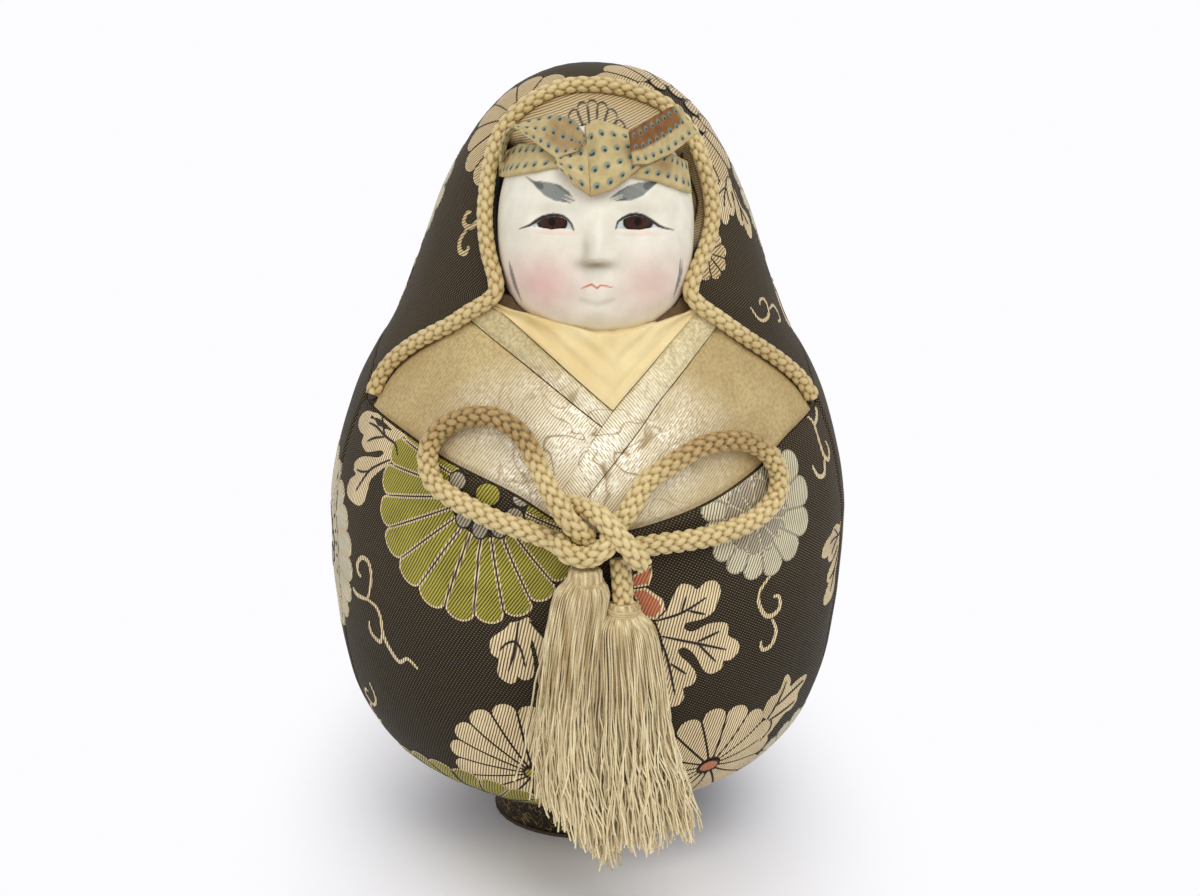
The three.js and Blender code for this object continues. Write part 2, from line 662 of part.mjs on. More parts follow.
// Tassels: elliptical sections below the middle of the tassel's head, as [drop, shift, half width,
// half depth]
const LEFT_SKIRT = [
  [7, -1.6, 5.2, 5.1], [16, -3.9, 6.3, 6], [30, -4.6, 6.7, 6.6], [44, -5.2, 7, 7.2],
  [58, -6.8, 7.4, 7.8], [63, -7, 6.4, 6.8],
];
const RIGHT_SKIRT = [
  [5, 1, 5.4, 5], [10, 2, 7, 5.8], [32, 3.6, 9.8, 7.4], [48, 5.2, 12.8, 8.4],
  [58, 5.4, 15.4, 9], [68, 4, 15.8, 8.6],
];

function loft(sections, sides) {
  const vertices = [];
  const triangles = [];
  sections.forEach(([drop, shift, halfWidth, halfDepth]) => {
    for (let i = 0; i < sides; i++) {
      const turn = (2 * Math.PI * i) / sides;
      vertices.push(shift + halfWidth * Math.cos(turn), halfDepth * Math.sin(turn), -drop);
    }
  });
  const last = (sections.length - 1) * sides;
  for (let row = 0; row < sections.length - 1; row++) {
    for (let i = 0; i < sides; i++) {
      const a = row * sides + i;
      const b = row * sides + ((i + 1) % sides);
      triangles.push(a, a + sides, b, b, a + sides, b + sides);
    }
  }
  for (let i = 1; i < sides - 1; i++) {
    triangles.push(0, i, i + 1);
    triangles.push(last, last + i + 1, last + i);
  }
  const geometry = new THREE.BufferGeometry();
  geometry.setAttribute('position', new THREE.Float32BufferAttribute(vertices, 3));
  geometry.setIndex(triangles);
  geometry.computeVertexNormals();
  return geometry;
}

// The tassel's head is a ball, so that it turns in the hollow end of its cord
function headSections(radius) {
  const sections = [];
  for (let turn = 20; turn <= 120; turn += 20) {
    const angle = THREE.MathUtils.degToRad(turn);
    const across = radius * Math.sin(angle);
    sections.push([-radius * Math.cos(angle), 0, across, across]);
  }
  return sections;
}

function buildTassel(name, place, tailTop, headRadius, skirtSections) {
  const group = new THREE.Group();
  const tassel = new THREE.Group();
  tassel.position.copy(place);
  const neck = headRadius * Math.sin(Math.PI / 3);
  const neckDrop = headRadius / 2 + BINDING_HEIGHT / 2;
  const waist = [neckDrop + BINDING_HEIGHT / 2, 0, neck, neck];
  const sections = [...headSections(headRadius), waist, ...skirtSections];
  const ringTop = -neckDrop + BINDING_HEIGHT / 2;
  const ringBottom = -neckDrop - BINDING_HEIGHT / 2;
  const ring = new THREE.LatheGeometry(
    [
      vec2(neck + GAP, ringBottom + GAP),
      vec2(neck + GAP + BINDING_THICKNESS, ringBottom + GAP),
      vec2(neck + GAP + BINDING_THICKNESS, ringTop),
      vec2(neck + GAP, ringTop),
      vec2(neck + GAP, ringBottom + GAP),
    ],
    TASSEL_SIDES,
  ).rotateX(Math.PI / 2);
  tassel.add(piece(`${name}_tassel_skirt`, loft(sections, TASSEL_SIDES), yarn()));
  tassel.add(piece(`${name}_tassel_binding`, ring, yarn()));
  group.add(tassel);

  const length = place.distanceTo(tailTop);
  const capsule = new THREE.CapsuleGeometry(TAIL_RADIUS, length, 4, 12);
  const down = place.clone().sub(tailTop).normalize();
  const turn = new THREE.Quaternion().setFromUnitVectors(vec3(0, -1, 0), down);
  capsule.applyQuaternion(turn).translate(...tailTop.clone().add(place).multiplyScalar(0.5).toArray());
  const ball = new THREE.SphereGeometry(headRadius + GAP, 16, 12).translate(...place.toArray());
  const cut = solidOf(capsule).subtract(solidOf(ball));
  const tail = cut.decompose().sort((a, b) => b.volume() - a.volume())[0];
  group.add(piece(`${name}_tail_cord`, tail, braid()));
  return group;
}

function buildTassels() {
  const front = onBody(0, BELLY_HEIGHT).y;
  const tasselY = front - TASSEL_CLEARANCE;
  const tailY = front - TAIL_RADIUS - GAP;
  const left = vec3(LEFT_TASSEL_X, tasselY, BELLY_HEIGHT - LEFT_TASSEL_DROP);
  const right = vec3(RIGHT_TASSEL_X, tasselY, BELLY_HEIGHT - RIGHT_TASSEL_DROP);
  const leftTop = vec3(LEFT_TASSEL_X, tailY, BELLY_HEIGHT + TAIL_TOP_RISE);
  const rightTop = vec3(RIGHT_TASSEL_X - RIGHT_TAIL_SLANT, tailY, BELLY_HEIGHT + RIGHT_TAIL_TOP_RISE);
  return [
    buildTassel('left', left, leftTop, LEFT_HEAD_RADIUS, LEFT_SKIRT),
    buildTassel('right', right, rightTop, RIGHT_HEAD_RADIUS, RIGHT_SKIRT),
  ];
}

const doll = new THREE.Group();
doll.name = 'egg_doll';
doll.add(buildCore(), buildFoot(), buildCloth(), buildHead());
doll.add(buildHoodCord(), buildBow(), ...buildTassels());

export default doll;
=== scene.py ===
# %% [markdown]
# An egg-shaped cloth doll.
# A hard core shaped like an egg is covered with brocade. The edges of the cloth are tucked into seams, a
# painted head looks out of the hood, and a braided cord is tied in a bow with two tassels. The CAD model
# gives the sizes and the way it moves. This lesson dresses it: smooth cloth, woven flowers, a painted face,
# real braid and yarn.

# %% Load the CAD frame
import bisect
import math
import random

import bmesh
import bpy
from mathutils import Matrix, Vector, noise


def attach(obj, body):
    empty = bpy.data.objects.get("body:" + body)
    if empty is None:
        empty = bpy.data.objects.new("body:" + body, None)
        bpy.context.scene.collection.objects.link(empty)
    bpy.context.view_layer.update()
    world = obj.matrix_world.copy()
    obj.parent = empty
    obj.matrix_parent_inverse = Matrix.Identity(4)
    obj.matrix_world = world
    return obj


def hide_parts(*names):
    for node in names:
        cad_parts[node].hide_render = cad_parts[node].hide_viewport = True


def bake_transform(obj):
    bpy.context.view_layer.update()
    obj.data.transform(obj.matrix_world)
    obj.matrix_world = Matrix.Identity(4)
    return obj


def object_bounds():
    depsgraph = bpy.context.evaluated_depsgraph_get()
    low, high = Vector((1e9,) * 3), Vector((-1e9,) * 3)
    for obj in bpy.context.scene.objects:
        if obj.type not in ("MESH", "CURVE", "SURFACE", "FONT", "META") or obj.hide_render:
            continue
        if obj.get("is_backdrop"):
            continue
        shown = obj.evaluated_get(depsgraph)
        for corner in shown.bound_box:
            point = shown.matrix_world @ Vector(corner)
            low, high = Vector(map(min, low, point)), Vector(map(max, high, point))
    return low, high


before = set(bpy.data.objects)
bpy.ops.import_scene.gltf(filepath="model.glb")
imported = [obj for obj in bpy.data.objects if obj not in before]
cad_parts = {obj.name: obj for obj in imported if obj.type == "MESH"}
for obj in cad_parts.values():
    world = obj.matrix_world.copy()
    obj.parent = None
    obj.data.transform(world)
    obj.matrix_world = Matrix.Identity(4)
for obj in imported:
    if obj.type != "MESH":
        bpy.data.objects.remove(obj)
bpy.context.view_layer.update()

MM = 0.001
scene = bpy.context.scene
scene.view_settings.view_transform = "Standard"

# %% [markdown]
# The camera stands where the photographer stood: about half a metre in front, a little above the doll and
# looking down. The doll was turned two degrees and the picture leans by one, so the camera takes up both.

# %% Camera
CAMERA_AT = Vector((-14.85, -519.8, 255.0)) * MM
CAMERA_LOOKS = Vector((0.0337, 0.9656, -0.2579)).normalized()
PICTURE_LEAN = 0.0175
LENS = 53.6

camera_right = CAMERA_LOOKS.cross(Vector((0, 0, 1))).normalized()
camera_up = camera_right.cross(CAMERA_LOOKS)
leaning_right = camera_right * math.cos(PICTURE_LEAN) + camera_up * math.sin(PICTURE_LEAN)
leaning_up = camera_up * math.cos(PICTURE_LEAN) - camera_right * math.sin(PICTURE_LEAN)
camera_turn = Matrix((leaning_right, leaning_up, -CAMERA_LOOKS)).transposed().to_4x4()

camera_data = bpy.data.cameras.new("photo_camera")
camera_data.sensor_width = 36.0
camera_data.lens = LENS
camera_data.clip_end = 50.0
camera = bpy.data.objects.new("photo_camera", camera_data)
camera.matrix_world = Matrix.Translation(CAMERA_AT) @ camera_turn
scene.collection.objects.link(camera)
scene.camera = camera
print("camera at", [round(v, 3) for v in CAMERA_AT])

# %% [markdown]
# One function turns a colour as a painter writes it, in sRGB hex, into the linear values that Blender
# mixes. One function adds a shader node, with its settings and its links, and reads hex colours itself. A
# wave of scale 1 repeats every 2 pi / 20 units, so a thread spacing in millimetres gives the scale of its
# wave.

# %% Colour and node helpers
def linear(hex_colour):
    channels = [int(hex_colour[i:i + 2], 16) / 255 for i in (1, 3, 5)]
    return tuple(c / 12.92 if c <= 0.04045 else ((c + 0.055) / 1.055) ** 2.4 for c in channels) + (1.0,)


def add_node(tree, kind, inputs=None, stops=(), **settings):
    made = tree.nodes.new(kind)
    for name, value in settings.items():
        setattr(made, name, value)
    for key, value in (inputs or {}).items():
        if isinstance(value, bpy.types.Node):
            value = next(socket for socket in value.outputs if socket.enabled)
        if isinstance(value, bpy.types.NodeSocket):
            tree.links.new(value, made.inputs[key])
        else:
            made.inputs[key].default_value = linear(value) if isinstance(value, str) else value
    for i, (position, colour) in enumerate(stops):
        element = made.color_ramp.elements[i] if i < 2 else made.color_ramp.elements.new(position)
        element.position = position
        element.color = linear(colour) if isinstance(colour, str) else colour
    return made


def new_finish(name):
    material = bpy.data.materials.new(name)
    material.use_nodes = True
    material.node_tree.nodes.clear()
    return material, material.node_tree


def wave_scale(pitch_mm):
    return (2 * math.pi / 20) / (pitch_mm * MM)


def noise_scale(size_mm):
    return 1 / (size_mm * MM)


WHITE = (1, 1, 1, 1)
BLACK = (0, 0, 0, 1)
print("a 0.8 mm thread spacing is a wave of scale", round(wave_scale(0.8)))

# %% [markdown]
# The floor is a white sheet that curves up behind the doll, as in a small photo studio. Near the doll it is
# plain paper, which keeps the soft shadow. Further out it is seen as pure white, as in an overexposed
# background. The world is an even white light. Two soft lamps, a strong one on the right and a weak one on
# the left, give the forms.

# %% Studio
FLOOR_HALF = 2.2
BACKDROP_AT = 1.0
BACKDROP_BEND = 0.5
SKY_LIGHT = 0.52
PAPER_NEAR = 0.045
PAPER_FAR = 0.15


def seen_directly(tree):
    ray = add_node(tree, "ShaderNodeLightPath")
    straight = add_node(tree, "ShaderNodeMath",
                        {0: ray.outputs["Is Camera Ray"], 1: ray.outputs["Is Glossy Ray"]}, operation="ADD")
    return add_node(tree, "ShaderNodeMath",
                    {0: straight, 1: ray.outputs["Is Transmission Ray"]}, operation="ADD", use_clamp=True)


floor_paper, tree = new_finish("white_background_paper")
grain = add_node(tree, "ShaderNodeTexNoise", {"Scale": noise_scale(180), "Detail": 2.0})
paper_tone = add_node(tree, "ShaderNodeValToRGB", {"Fac": grain},
                      stops=[(0.3, "#f6f5f7"), (0.7, "#fbfafb")])
paper = add_node(tree, "ShaderNodeBsdfPrincipled",
                 {"Base Color": paper_tone, "Roughness": 0.9, "Specular IOR Level": 0.1})
place = add_node(tree, "ShaderNodeTexCoord")
squeezed = add_node(tree, "ShaderNodeMapping", {"Vector": place.outputs["Object"], "Scale": (1.4, 0.7, 1.0)})
reach = add_node(tree, "ShaderNodeVectorMath", {0: squeezed}, operation="LENGTH")
far_share = add_node(tree, "ShaderNodeMapRange",
                     {"Value": reach, "From Min": PAPER_NEAR, "From Max": PAPER_FAR},
                     interpolation_type="SMOOTHSTEP")
white_share = add_node(tree, "ShaderNodeMath", {0: far_share, 1: seen_directly(tree)}, operation="MULTIPLY")
white = add_node(tree, "ShaderNodeEmission", {"Color": "#fdfcff", "Strength": 1.0})
seen_paper = add_node(tree, "ShaderNodeMixShader", {0: white_share, 1: paper, 2: white})
add_node(tree, "ShaderNodeOutputMaterial", {"Surface": seen_paper})

bm = bmesh.new()
rail = [bm.verts.new((x, -FLOOR_HALF, 0)) for x in (-FLOOR_HALF, FLOOR_HALF)]
edge = bm.edges.new(rail)
grown = bmesh.ops.extrude_edge_only(bm, edges=[edge])
flat_end = [v for v in grown["geom"] if isinstance(v, bmesh.types.BMVert)]
bmesh.ops.translate(bm, verts=flat_end, vec=(0, FLOOR_HALF + BACKDROP_AT, 0))
bend_edge = [e for e in grown["geom"] if isinstance(e, bmesh.types.BMEdge)][0]
bent = bmesh.ops.spin(
    bm, geom=flat_end + [bend_edge], cent=(0, BACKDROP_AT, BACKDROP_BEND), axis=(1, 0, 0),
    angle=math.radians(90), steps=24, use_merge=False,
)
top = [v for v in bent["geom_last"] if isinstance(v, bmesh.types.BMVert)]
top_edge = [e for e in bent["geom_last"] if isinstance(e, bmesh.types.BMEdge)]
raised = bmesh.ops.extrude_edge_only(bm, edges=top_edge)
bmesh.ops.translate(
    bm, verts=[v for v in raised["geom"] if isinstance(v, bmesh.types.BMVert)], vec=(0, 0, 2.0))
bmesh.ops.recalc_face_normals(bm, faces=bm.faces)
floor_mesh = bpy.data.meshes.new("studio_floor")
bm.to_mesh(floor_mesh)
bm.free()
floor_mesh.materials.append(floor_paper)
for polygon in floor_mesh.polygons:
    polygon.use_smooth = True
floor = bpy.data.objects.new("studio_floor", floor_mesh)
scene.collection.objects.link(floor)
floor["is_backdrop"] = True

world = bpy.data.worlds.new("studio_world")
world.use_nodes = True
world.node_tree.nodes.clear()
seen = add_node(world.node_tree, "ShaderNodeMath",
                {0: seen_directly(world.node_tree), 1: 1 - SKY_LIGHT, 2: SKY_LIGHT}, operation="MULTIPLY_ADD")
sky = add_node(world.node_tree, "ShaderNodeBackground", {"Color": "#fbfbff", "Strength": seen})
add_node(world.node_tree, "ShaderNodeOutputWorld", {"Surface": sky})
scene.world = world


def soft_lamp(name, place, aim, width, height, watts):
    data = bpy.data.lights.new(name, "AREA")
    data.shape = "RECTANGLE"
    data.size = width
    data.size_y = height
    data.energy = watts
    lamp = bpy.data.objects.new(name, data)
    lamp.location = place
    lamp.rotation_euler = (Vector(aim) - Vector(place)).to_track_quat("-Z", "Y").to_euler()
    scene.collection.objects.link(lamp)


soft_lamp("key_softbox", (0.52, -1.0, 1.5), (0, 0, 0.1), 1.2, 1.2, 14.5)
soft_lamp("fill_softbox", (-1.1, -0.8, 0.9), (0, 0, 0.1), 1.0, 1.0, 4.2)
print("studio: floor, world and two soft lamps")

# %% [markdown]
# The body is a round egg, a little flatter from front to back than it is wide. Three Bezier curves draw its
# side from the foot to the crown. They repeat the CAD model's values, so the cloth lies exactly where the
# solids are. All lengths from here on are in millimetres, and each piece is brought to metres when its mesh
# is made.

# %% Side of the body
DEPTH_RATIO = 142.0 / 154.4
FOOT_TOP = 10.0
BELLY = 102.0
CROWN = 230.0
BODY_CURVES = [
    ((29.2, 10.0), (62.2, 27.5), (77.2, 29.5), (77.2, 102.0)),
    ((77.2, 102.0), (77.2, 108.8), (72.75, 134.92), (60.3, 152.7)),
    ((60.3, 152.7), (46.59, 172.28), (43.5, 230.0), (0.0, 230.0)),
]


def cubic(curve, t):
    s = 1 - t
    weights = (s ** 3, 3 * s * s * t, 3 * s * t * t, t ** 3)
    return tuple(sum(w * p[i] for w, p in zip(weights, curve)) for i in range(2))


def cubic_line(curve, steps):
    return [cubic(curve, i / steps) for i in range(steps + 1)]


def between(low, high, value):
    share = min(1.0, max(0.0, (value - low) / (high - low)))
    return share * share * (3 - 2 * share)


OUTLINE = [BODY_CURVES[0][0]]
for curve in BODY_CURVES:
    OUTLINE += cubic_line(curve, 120)[1:]
HEIGHTS = [z for _, z in OUTLINE]
ARCS = [0.0]
for (r0, z0), (r1, z1) in zip(OUTLINE, OUTLINE[1:]):
    ARCS.append(ARCS[-1] + math.hypot(r1 - r0, z1 - z0))


def look_up(keys, values, key):
    i = min(len(keys) - 1, max(1, bisect.bisect_left(keys, key)))
    span = keys[i] - keys[i - 1]
    share = 0.0 if span == 0 else min(1.0, max(0.0, (key - keys[i - 1]) / span))
    return values[i - 1] + (values[i] - values[i - 1]) * share


RADII = [r for r, _ in OUTLINE]


def radius_at(z):
    return look_up(HEIGHTS, RADII, z)


def arc_at(z):
    return look_up(HEIGHTS, ARCS, z)


# A turn of 0 is the front of the doll, and a positive turn goes to the viewer's right
def on_body(turn, z, lift=0.0):
    radius = radius_at(z)
    slope = (radius_at(z + 0.5) - radius_at(z - 0.5))
    place = Vector((radius * math.sin(turn), -DEPTH_RATIO * radius * math.cos(turn), z))
    facing = Vector((math.sin(turn), -math.cos(turn) / DEPTH_RATIO, -slope)).normalized()
    return place + facing * lift


def turn_at(x, z):
    return math.asin(max(-1.0, min(1.0, x / max(radius_at(z), 0.1))))


def on_front(x, z, lift=0.0):
    return on_body(turn_at(x, z), z, lift)


def from_inside(centre, direction):
    near, far = 0.0, 200.0
    for _ in range(36):
        middle = (near + far) / 2
        p = centre + direction * middle
        inside = p.z < CROWN and math.hypot(p.x, p.y / DEPTH_RATIO) < radius_at(p.z)
        near, far = (middle, far) if inside else (near, middle)
    return centre + direction * near


print("belly radius", round(radius_at(BELLY), 1), "side length", round(ARCS[-1], 1), "mm")

# %% [markdown]
# The seams are lines seen from the front: the cord's line round the hood's opening, the lower edge of the
# chest cloth and the edges of the two collar bands. Each is a list of points across and up. The cord's line
# follows the photograph and lies up to three millimetres further in than the CAD line. The others are the
# CAD model's.

# %% Seam lines
def from_belly(points):
    return [(x, BELLY + rise) for x, rise in points]


def spline(points, steps):
    padded = [points[0]] + list(points) + [points[-1]]
    line = []
    for i in range(steps * (len(points) - 1) + 1):
        k, t = divmod(i, steps)
        k, t = (k, t / steps) if k < len(points) - 1 else (len(points) - 2, 1.0)
        p0, p1, p2, p3 = padded[k:k + 4]
        line.append(tuple(
            0.5 * (2 * b + (c - a) * t + (2 * a - 5 * b + 4 * c - d) * t * t
                   + (3 * b - a - 3 * c + d) * t ** 3)
            for a, b, c, d in zip(p0, p1, p2, p3)))
    return line


HOOD_RIGHT = spline([
    (60.8, 138.6), (57.3, 144.0), (50.9, 149.9), (41.5, 156.8), (32.7, 163.5), (27.1, 167.7), (24.8, 171.0),
    (25.9, 175.3), (28.1, 180.2), (30.0, 185.2), (30.9, 190.2), (30.6, 194.7), (29.6, 199.9), (27.8, 205.1),
    (25.7, 210.2), (22.2, 214.9), (17.9, 218.6), (12.6, 221.0), (7.2, 222.6), (1.0, 223.4)], 2)
HOOD_LEFT = spline([
    (-60.4, 138.4), (-58.6, 142.8), (-54.6, 148.4), (-47.2, 154.7), (-38.5, 160.4), (-33.6, 164.2),
    (-29.4, 167.1), (-26.5, 170.0), (-26.4, 173.8), (-28.1, 179.5), (-29.1, 185.5), (-29.3, 190.6),
    (-28.9, 195.7), (-28.3, 200.8), (-26.9, 206.9), (-24.8, 211.5), (-21.3, 215.7), (-16.6, 219.3),
    (-10.9, 222.1), (-5.2, 223.4)], 2)
HOOD_LINE = [(63.5, 136.0)] + HOOD_RIGHT + HOOD_LEFT[::-1] + [(-63.5, 136.0)]
CHEST_EDGE = spline(from_belly([
    (-66, 34.5), (-53, 30.4), (-40.9, 25.6), (-22.6, 19.2), (-9.3, 12.2), (1.3, 9.4),
    (12.4, 10.7), (29.7, 15.8), (44.2, 22.7), (54.5, 29.8), (66, 34.5),
]), 6)
LEFT_BAND_INNER = spline(from_belly([(-44, 77.5), (-17.7, 57.9), (11, 35.5)]), 12)
LEFT_BAND_OUTER = spline(from_belly([(-49, 69.5), (-25.8, 55.3), (-13.9, 47.7), (8, 32)]), 12)
RIGHT_BAND_INNER = spline(from_belly([(42, 79), (17.2, 53.9), (4.2, 40.3), (-5.5, 25.8), (-16, 8)]), 8)
RIGHT_BAND_OUTER = spline(from_belly([(48, 74), (19.5, 45.3), (11.7, 35.8), (-3.6, 16.9), (-12, 5)]), 8)


def along(line, share):
    lengths = [0.0]
    for p, q in zip(line, line[1:]):
        lengths.append(lengths[-1] + math.dist(p, q))
    at = share * lengths[-1]
    return tuple(look_up(lengths, [p[i] for p in line], at) for i in range(len(line[0])))


def crossing(line, other):
    for i, (p, q) in enumerate(zip(line, line[1:])):
        for r, s in zip(other, other[1:]):
            dx, dz, ex, ez = q[0] - p[0], q[1] - p[1], s[0] - r[0], s[1] - r[1]
            flat = dx * ez - dz * ex
            if abs(flat) < 1e-9:
                continue
            t = ((r[0] - p[0]) * ez - (r[1] - p[1]) * ex) / flat
            w = ((r[0] - p[0]) * dz - (r[1] - p[1]) * dx) / flat
            if 0 <= t <= 1 and 0 <= w <= 1:
                return i, (p[0] + dx * t, p[1] + dz * t)
    return None


def up_to(line, other):
    i, point = crossing(line, other)
    return list(line[:i + 1]) + [point]


def after(line, other):
    i, point = crossing(line, other)
    return [point] + list(line[i + 1:])


print("hood line", len(HOOD_LINE), "points, chest edge", len(CHEST_EDGE))

# %% [markdown]
# Every cloth piece is a grid that is laid over the body by a rule and then given its thickness. The grid
# lines crowd towards the edges, where the cloth dips into its seam. The UV map holds the cloth's own
# threads in metres.

# %% Helper that drapes a cloth
def crowd(share, strength=0.8):
    return share - strength * math.sin(2 * math.pi * share) / (2 * math.pi)


def make_piece(bm, name, finishes, stands_for=(), body="doll", smooth=True):
    mesh = bpy.data.meshes.new(name)
    bm.to_mesh(mesh)
    bm.free()
    for polygon in mesh.polygons:
        polygon.use_smooth = smooth
    for one in finishes:
        mesh.materials.append(one)
    piece = bpy.data.objects.new(name, mesh)
    scene.collection.objects.link(piece)
    if body:
        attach(piece, body)
    if stands_for:
        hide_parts(*stands_for)
    return piece


def thicken(piece, thickness_mm):
    wall = piece.modifiers.new("cloth_thickness", "SOLIDIFY")
    wall.thickness = thickness_mm * MM
    wall.offset = -1.0
    return piece


def face_away(bm, middle):
    bm.normal_update()
    facing = sum(f.normal.dot(f.calc_center_median() - middle) * f.calc_area() for f in bm.faces)
    if facing < 0:
        bmesh.ops.reverse_faces(bm, faces=bm.faces)


def drape(columns, rows, rule, middle=Vector((0, 0, 110)) * MM, strength=0.8, stained=None):
    bm = bmesh.new()
    bmesh.ops.create_grid(bm, x_segments=columns, y_segments=rows, size=0.5)
    threads = bm.loops.layers.uv.new("threads")
    stain = bm.verts.layers.float.new("stain")
    spots = {}
    for vert in bm.verts:
        u, v = crowd(vert.co.x + 0.5, strength), crowd(vert.co.y + 0.5, strength)
        place, thread = rule(u, v)
        spots[vert] = thread
        vert[stain] = stained(u, v) if stained else 0.0
        vert.co = place * MM
    for face in bm.faces:
        for loop in face.loops:
            loop[threads].uv = (spots[loop.vert][0] * MM, spots[loop.vert][1] * MM)
    bmesh.ops.remove_doubles(bm, verts=bm.verts, dist=1e-7)
    face_away(bm, middle)
    return bm


CLOTH_THICKNESS = 0.9


def lay_cloth(name, columns, rows, rule, finish, slot, node, thickness=CLOTH_THICKNESS, **laying):
    bm = drape(columns, rows, rule, **laying)
    return thicken(make_piece(bm, name, [finish], [node] if node else []), thickness)


TUCK_DEPTH = 0.8
TUCK_WIDTH = 2.6
SEAM_GAP = 0.14


def tuck(edge_distance):
    return -TUCK_DEPTH * (1 - between(0.0, TUCK_WIDTH, edge_distance)) ** 2


print("cloth dips", TUCK_DEPTH, "mm into its seams")

# %% [markdown]
# The dark ground of the brocade is a silk twill: fine diagonal ribs of brown-black warp with a gold weft
# that peeps through in tiny specks. The ribs are 0.7 mm apart, which is a little coarser than silk so that
# they show. Near the foot the colour is darkened: this is painted shade on the underside of the body.

# %% Silk twill
RIB_PITCH = 0.7
SPECK_PITCH = 0.85

twill, tree = new_finish("silk_twill_ground")
threads = add_node(tree, "ShaderNodeUVMap", uv_map="threads")
rib_turn = add_node(tree, "ShaderNodeMapping", {"Vector": threads, "Rotation": (0, 0, math.radians(28))})
ribs = add_node(tree, "ShaderNodeTexWave",
                {"Vector": rib_turn, "Scale": wave_scale(RIB_PITCH), "Distortion": 0.6, "Detail": 1.0},
                bands_direction="Y")
speck_turn = add_node(tree, "ShaderNodeMapping",
                      {"Vector": threads, "Rotation": (0, 0, math.radians(-58))})
specks = add_node(tree, "ShaderNodeTexWave",
                  {"Vector": speck_turn, "Scale": wave_scale(SPECK_PITCH), "Distortion": 0.8},
                  bands_direction="Y")
meet = add_node(tree, "ShaderNodeMath", {0: ribs, 1: specks}, operation="MULTIPLY")
speck_mask = add_node(tree, "ShaderNodeValToRGB", {"Fac": meet}, stops=[(0.52, BLACK), (0.86, WHITE)])
body_place = add_node(tree, "ShaderNodeTexCoord")
fading = add_node(tree, "ShaderNodeTexNoise",
                  {"Vector": body_place.outputs["Object"], "Scale": noise_scale(55), "Detail": 4.0})
ground_tone = add_node(tree, "ShaderNodeValToRGB", {"Fac": fading},
                   stops=[(0.32, "#100c09"), (0.5, "#16110c"), (0.72, "#201913")])
rib_tone = add_node(tree, "ShaderNodeMix",
                    {"Factor": ribs, "A": ground_tone, "B": "#3e3425"}, data_type="RGBA")
rib_soft = add_node(tree, "ShaderNodeMix",
                    {"Factor": 0.6, "A": ground_tone, "B": rib_tone}, data_type="RGBA")
speck_share = add_node(tree, "ShaderNodeMath", {0: speck_mask, 1: 0.75}, operation="MULTIPLY")
ground_colour = add_node(tree, "ShaderNodeMix",
                         {"Factor": speck_share, "A": rib_soft,
                          "B": "#a08c62"}, data_type="RGBA")
# Painted shade: towards the foot the colour is darkened, for the shade under the body.
height = add_node(tree, "ShaderNodeSeparateXYZ", {"Vector": body_place.outputs["Object"]})
low_painted_shade = add_node(tree, "ShaderNodeMapRange",
                   {"Value": height.outputs["Z"], "From Min": 0.02, "From Max": 0.095, "To Min": 0.55})
low_shaded_colour = add_node(tree, "ShaderNodeMix",
                       {"Factor": 1.0, "A": ground_colour, "B": low_painted_shade}, data_type="RGBA",
                       blend_type="MULTIPLY")
rib_bump = add_node(tree, "ShaderNodeBump",
                    {"Strength": 0.5, "Distance": 0.12 * MM, "Height": ribs})
shader = add_node(tree, "ShaderNodeBsdfPrincipled",
                  {"Base Color": low_shaded_colour, "Roughness": 0.66, "Specular IOR Level": 0.15,
                   "Normal": rib_bump})
add_node(tree, "ShaderNodeOutputMaterial", {"Surface": shader})
print("made", twill.name)

# %% [markdown]
# The flowers are woven with long floats of dyed weft. A float lies as a row of fine parallel threads, so each
# colour is a pale tone crossed by darker lines 0.88 mm apart. One function weaves all of them, because they
# differ only in colour and in the way that their threads run.

# %% Woven floats
FLOAT_PITCH = 0.88


def weave_float(name, pale, deep, thread_turn, gloss=0.5, metal=0.0, line_share=0.85):
    material, tree = new_finish(name)
    threads = add_node(tree, "ShaderNodeUVMap", uv_map="threads")
    run = add_node(tree, "ShaderNodeMapping",
                   {"Vector": threads, "Rotation": (0, 0, math.radians(thread_turn))})
    lines = add_node(tree, "ShaderNodeTexWave",
                     {"Vector": run, "Scale": wave_scale(FLOAT_PITCH), "Distortion": 1.2, "Detail": 1.0},
                     bands_direction="X")
    line_tone = add_node(tree, "ShaderNodeValToRGB", {"Fac": lines}, stops=[(0.3, deep), (0.5, pale)])
    place = add_node(tree, "ShaderNodeTexCoord")
    wear = add_node(tree, "ShaderNodeTexNoise",
                    {"Vector": place.outputs["Object"], "Scale": noise_scale(9), "Detail": 5.0})
    wear_tone = add_node(tree, "ShaderNodeValToRGB", {"Fac": wear}, stops=[(0.3, deep), (0.62, pale)])
    colour = add_node(tree, "ShaderNodeMix",
                      {"Factor": line_share, "A": wear_tone, "B": line_tone}, data_type="RGBA")
    bump = add_node(tree, "ShaderNodeBump",
                    {"Strength": 0.45, "Distance": 0.12 * MM, "Height": lines})
    shader = add_node(tree, "ShaderNodeBsdfPrincipled",
                      {"Base Color": colour, "Roughness": gloss, "Metallic": metal,
                       "Specular IOR Level": 0.3, "Normal": bump})
    add_node(tree, "ShaderNodeOutputMaterial", {"Surface": shader})
    return material


float_beige = weave_float("beige_weft_float", "#ffe8b6", "#583f24", 12)
float_green = weave_float("leaf_green_weft_float", "#b6ab3c", "#322c09", 32, 0.45)
float_grey = weave_float("grey_weft_float", "#c2b59b", "#4f473a", 28)
float_silver = weave_float("silver_weft_float", "#ece2be", "#5a523c", 20, 0.45)
float_red = weave_float("brick_red_weft_float", "#d8855b", "#8c4c30", 24)
float_gold = weave_float("gold_weft_float", "#dfc794", "#765c38", 60, 0.42, 0.15)
float_dark = weave_float("dark_outline_weft", "#2a211a", "#17110d", 45, 0.6, 0.0, 0.4)
print("seven woven floats")

